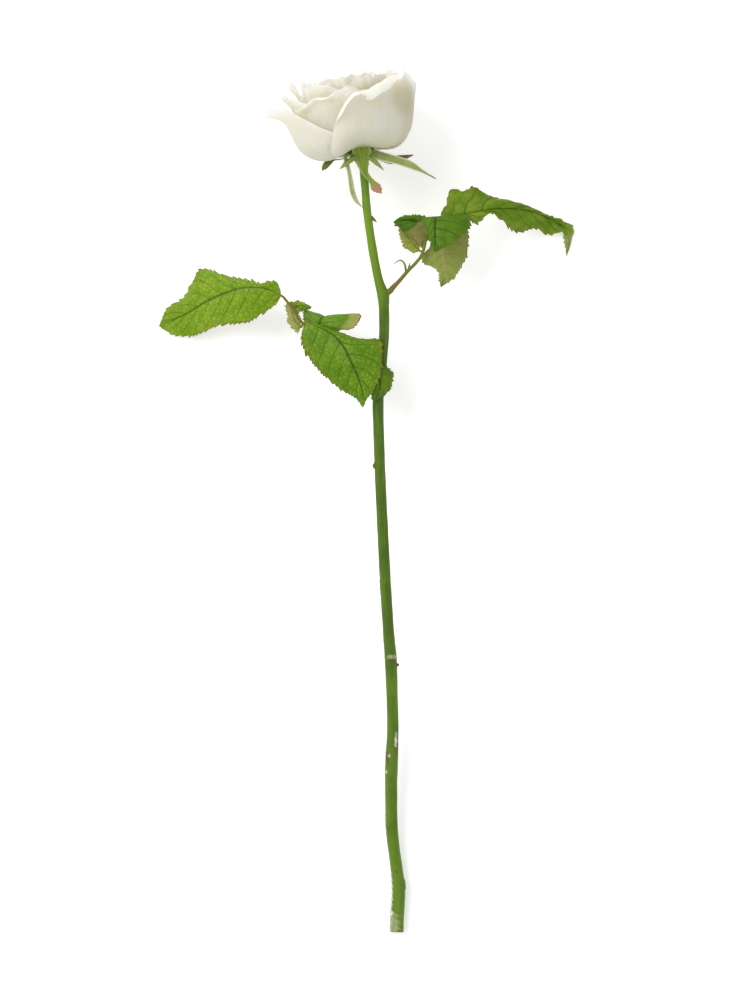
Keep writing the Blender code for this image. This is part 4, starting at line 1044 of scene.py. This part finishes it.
def bladePart(shape, origin, columns, detail, phase, rows=None, marks=None):
    detail = dict(detail, **shape.get("detail", {}))
    t = np.linspace(0.0, 1.0, rows or shape["teeth"] * detail["rowsPerTooth"] + 1)
    grid = bladeGrid(shape, origin, t, columns, detail, phase)
    size = np.abs(columns)[None, :] + 0.0 * t[:, None]
    thinner = detail["edgeThickness"] - detail["thickness"]
    thickness = detail["thickness"] + thinner * late(size, detail["thinFrom"])
    along = t[:, None] + 0.0 * columns[None, :]
    part = shellPart(grid, thickness, sheetUv(columns, t),
                     {key: value(size, along) for key, value in (marks or {}).items()})
    pale = paleShare(shape, columns[None, :], along).ravel()
    part["marks"]["pale"] = np.concatenate([pale, 1.0 - pale])
    return part


stalkMarks = {"rust": lambda s: 0.42 + 0.18 * np.sin(9 * s), "young": lambda s: 0.8 + 0.0 * s}
leftStalk = dict(
    line=[(51.1, 0.9, 0.4), (47.8, 1.6, 2.4), (42.9, 4.5, 4), (34.9, 11.3, 4), (24.9, 18.5, 2.6),
          (16.9, 23.5, 1.8), (11.4, 26.7, 1.5), (7.9, 30.9, 1.5), (4.9, 35.7, 1.2), (0.5, 41.1, 0.6)],
    radii=[1.9, 1.5, 1.0, 0.85, 0.85, 0.85, 0.8, 0.75, 0.7, 0.65], horns=[],
)
rightStalk = dict(
    line=[(-2.5, -1.5, 0.9), (1.2, 1, 1.4), (2.7, 2.8, 1.9), (6, 6.2, 2.6), (10.5, 11.4, 3.1),
          (14.1, 15, 3.2), (17, 18.6, 3.1), (18.7, 23.1, 2.9), (20.3, 29.5, 2.8), (24.5, 34.5, 2.6),
          (29.4, 37.5, 0.5)],
    radii=[1.9, 1.5, 1.1, 1.0, 0.9, 0.85, 0.85, 0.8, 0.75, 0.7, 0.65],
    horns=[[(9.3, 10.1, 3), (9, 13.4, 3.8), (8, 15.8, 4.2), (6, 16.7, 4.4), (2.7, 14.6, 4.2)],
           [(10.7, 11.7, 3.2), (11.2, 15.4, 4)]],
)


def addLeaf(side, leaflets, stalk):
    origin = np.array(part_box(side + "_leaf_stalk")[0]) / mm
    parts = [roundPart(np.array(stalk["line"]) + origin, stalk["radii"], 16, 120, stalkMarks)]
    for horn in stalk["horns"]:
        radii = [0.6, 0.62, 0.5, 0.34, 0.12]
        parts.append(roundPart(np.array(horn) + origin, radii, 10, 30, stalkMarks, 0.6))
    dense = curveThrough(stalk["line"], np.linspace(0.0, 1.0, 200))
    for shape in leaflets.values():  # the leaflet's own short stalk, from the nearest point of the leaf stalk
        foot = np.array(shape["base"])
        near = dense[np.argmin(np.linalg.norm(dense - foot, axis=1))]
        inside = foot + 1.8 * unit(np.array(shape["mid"][0]) - foot)
        line = np.array([near, (near + foot) / 2, foot, inside]) + origin
        parts.append(roundPart(line, [0.62, 0.6, 0.55, 0.3], 10, 16, stalkMarks))
    addPiece(side + "_leaf_stalk", joinParts(parts), greenStem)
    for number, (name, shape) in enumerate(leaflets.items()):
        look = dict(leafColour, veinCount=float(shape["veins"]), **leafTints[f"{side}_{name}"])
        skin = leafFinish(f"{side}Leaflet_{name}", look)
        part = bladePart(shape, origin, bladeColumns, blade, 1.0 + 1.7 * number)
        addPiece(f"{side}_leaflet_{name}", part, skin)
    print(side, "leaf:", len(leaflets), "leaflets")


addLeaf("left", leftLeaf, leftStalk)
addLeaf("right", rightLeaf, rightStalk)

# ---- sepals ----
# Points are measured from bloomBase, the foot of the hip's dome on its axis, in mm.
sepals = {
    "right": dict(
        base=(5.4, -2.2, 0.4), baseWidth=5.0, tip=(39.7, -15.8, -5),
        mid=[(13, -4.5, 0.4), (19.9, -6.5, -0.2), (27, -8.9, -1.6), (32.6, -11.9, -3.2)],
        left=[(12, -1.9, -0.6), (20.2, -4.3, -1.2), (27.2, -6.7, -2), (32.8, -11.1, -3.4)],
        right=[(11.2, -6.7, 0), (19, -8.4, -0.4), (27, -11.1, -1.6), (32.4, -12.7, -3.4)],
        rustFrom=0.86,
    ),
    "left": dict(
        base=(-5.2, -2.0, 2.6), baseWidth=4.0, tip=(1.5, -31, 2),
        mid=[(-7.3, -3.9, 3.9), (-7.2, -6.6, 4.4), (-6.1, -10.2, 4.1), (-5.1, -15.5, 3.7), (-3.9, -22.5, 3),
             (-1.6, -27.8, 2.4)],
        left=[(-6.2, -4.6, 4.2), (-6, -6.8, 4.5), (-5.1, -10.4, 4.1), (-3.9, -15.5, 3.6), (-2.4, -22.5, 2.8),
              (-0.4, -27.6, 2.4)],
        right=[(-8.5, -3.9, 3.5), (-8.3, -7, 3.9), (-7.2, -10, 3.9), (-6.3, -15.5, 3.7), (-5.5, -22.5, 3.1),
               (-3.3, -27.4, 2.4)],
        rustFrom=0.93,
    ),
    "front": dict(
        base=(0.7, 0.3, 7.8), baseWidth=9.4, tip=(11.2, -23.7, 5),
        mid=[(1, -2.7, 7.5), (1.4, -5.9, 5.8), (2.4, -10.9, 3.5), (3.8, -14.7, 3), (6.8, -18.9, 4)],
        left=[(5.6, -1.9, 5.9), (4.9, -4.1, 5.6), (4.3, -8.1, 4.4), (4.4, -13.3, 3.3), (7.2, -16.7, 3.8),
              (10.6, -19.7, 4.4)],
        right=[(-3.9, -2.1, 6.2), (-2.7, -3.9, 5.8), (-1.4, -7.9, 4.2), (1.4, -13.3, 3), (5.2, -17.9, 3.4),
               (6.2, -21.7, 4.2)],
        rustFrom=0.74, teeth=7,
    ),
    "back_left": dict(
        base=(-3.8, -2.6, -4), baseWidth=4.0, tip=(-19.8, -11.4, -7.6),
        mid=[(-9, -5.1, -6.2), (-13.2, -5.8, -7), (-16.2, -7, -7.3), (-18.2, -9.2, -7.4)],
        left=[(-9, -5.4, -4.4), (-13, -6.2, -5.2), (-15, -8.2, -6.6), (-17.2, -10.4, -7.2)],
        right=[(-9.2, -5.3, -8.6), (-13.6, -5.8, -9), (-17.6, -6.1, -8), (-19.6, -8.6, -7.6)],
        rustFrom=0.9,
    ),
    "back_right": dict(
        base=(3.8, -2.1, -4.4), baseWidth=4.0, tip=(28, -3, -12),
        mid=[(10.6, -4.5, -8.6), (16.6, -5.7, -10.6), (22.6, -4.3, -11.6)],
        left=[(10.2, -2.3, -9), (16.6, -3.5, -10.8), (22.6, -3.1, -11.6)],
        right=[(11, -6.5, -8.2), (16.6, -7.9, -10.2), (23, -5.7, -11.4)],
        rustFrom=0.5,
    ),
}
frontLobes = [
    dict(line=[(-1.2, -4.4, 6), (-4.4, -6, 6.3), (-7.4, -8.3, 5.9), (-10.6, -10.9, 5.2)],
         widths=[0.8, 1.4, 1.2, 0.15]),
    dict(line=[(3.4, -4.4, 6), (7.6, -6.9, 5.6), (12.4, -11.5, 4.8)], widths=[0.9, 1.3, 0.15]),
]
sepalBlade = dict(
    blade, thickness=0.48, edgeThickness=0.25, arch=0.4, endWidth=0.25, toothDepth=0.7, toothLean=0.8,
    rows=90,
)
sepalColumns = np.linspace(-1.0, 1.0, 17)
sepalColour = dict(
    outer=tone(138, 160, 62), inner=tone(176, 188, 112), dark=tone(110, 136, 40), line=tone(166, 184, 98),
    hem=tone(214, 218, 184), hemShare=0.85, hemBand=(0.7, 0.9), tip=tone(150, 104, 84),
    lines=14.0, cloudScale=220.0, reliefDepth=0.0002, through=0.12, darkBand=(0.4, 0.7), darkShare=0.6,
    lineBand=(0.45, 0.65), lineShare=0.4,
)
shadedSepal = dict(outer=tone(92, 122, 40), dark=tone(62, 92, 20), hemShare=0.35)
sepalTints = {
    "front": dict(outer=tone(128, 152, 40), hemShare=0.25, tip=tone(176, 128, 104)),
    "left": dict(outer=tone(168, 178, 118), dark=tone(120, 142, 66), line=tone(200, 206, 156),
                 hem=tone(232, 230, 208), hemShare=1.0, hemBand=(0.5, 0.9)),
    "right": dict(outer=tone(160, 174, 96), dark=tone(118, 144, 56), line=tone(198, 206, 146),
                  hem=tone(232, 230, 208), hemShare=1.0, hemBand=(0.55, 0.9)),
    "back_left": shadedSepal,
    "back_right": shadedSepal,
}


def addSepals():
    for number, (name, shape) in enumerate(sepals.items()):
        look = dict(sepalColour, **sepalTints[name])
        marks = {"rust": lambda size, along: ease((along - shape["rustFrom"]) / 0.12)}
        rows = sepalBlade["rows"]
        parts = [bladePart(shape, bloomBase, sepalColumns, sepalBlade, float(number), rows, marks)]
        if name == "front":
            for lobe in frontLobes:
                tip = {"rust": lambda s: late(s, 0.8)}
                parts.append(roundPart(np.array(lobe["line"]) + bloomBase, lobe["widths"], 12, 40, tip, 0.4))
        addPiece("sepal_" + name, joinParts(parts), sepalFinish("sepalSkin_" + name, look))
    print("sepals:", len(sepals))


addSepals()
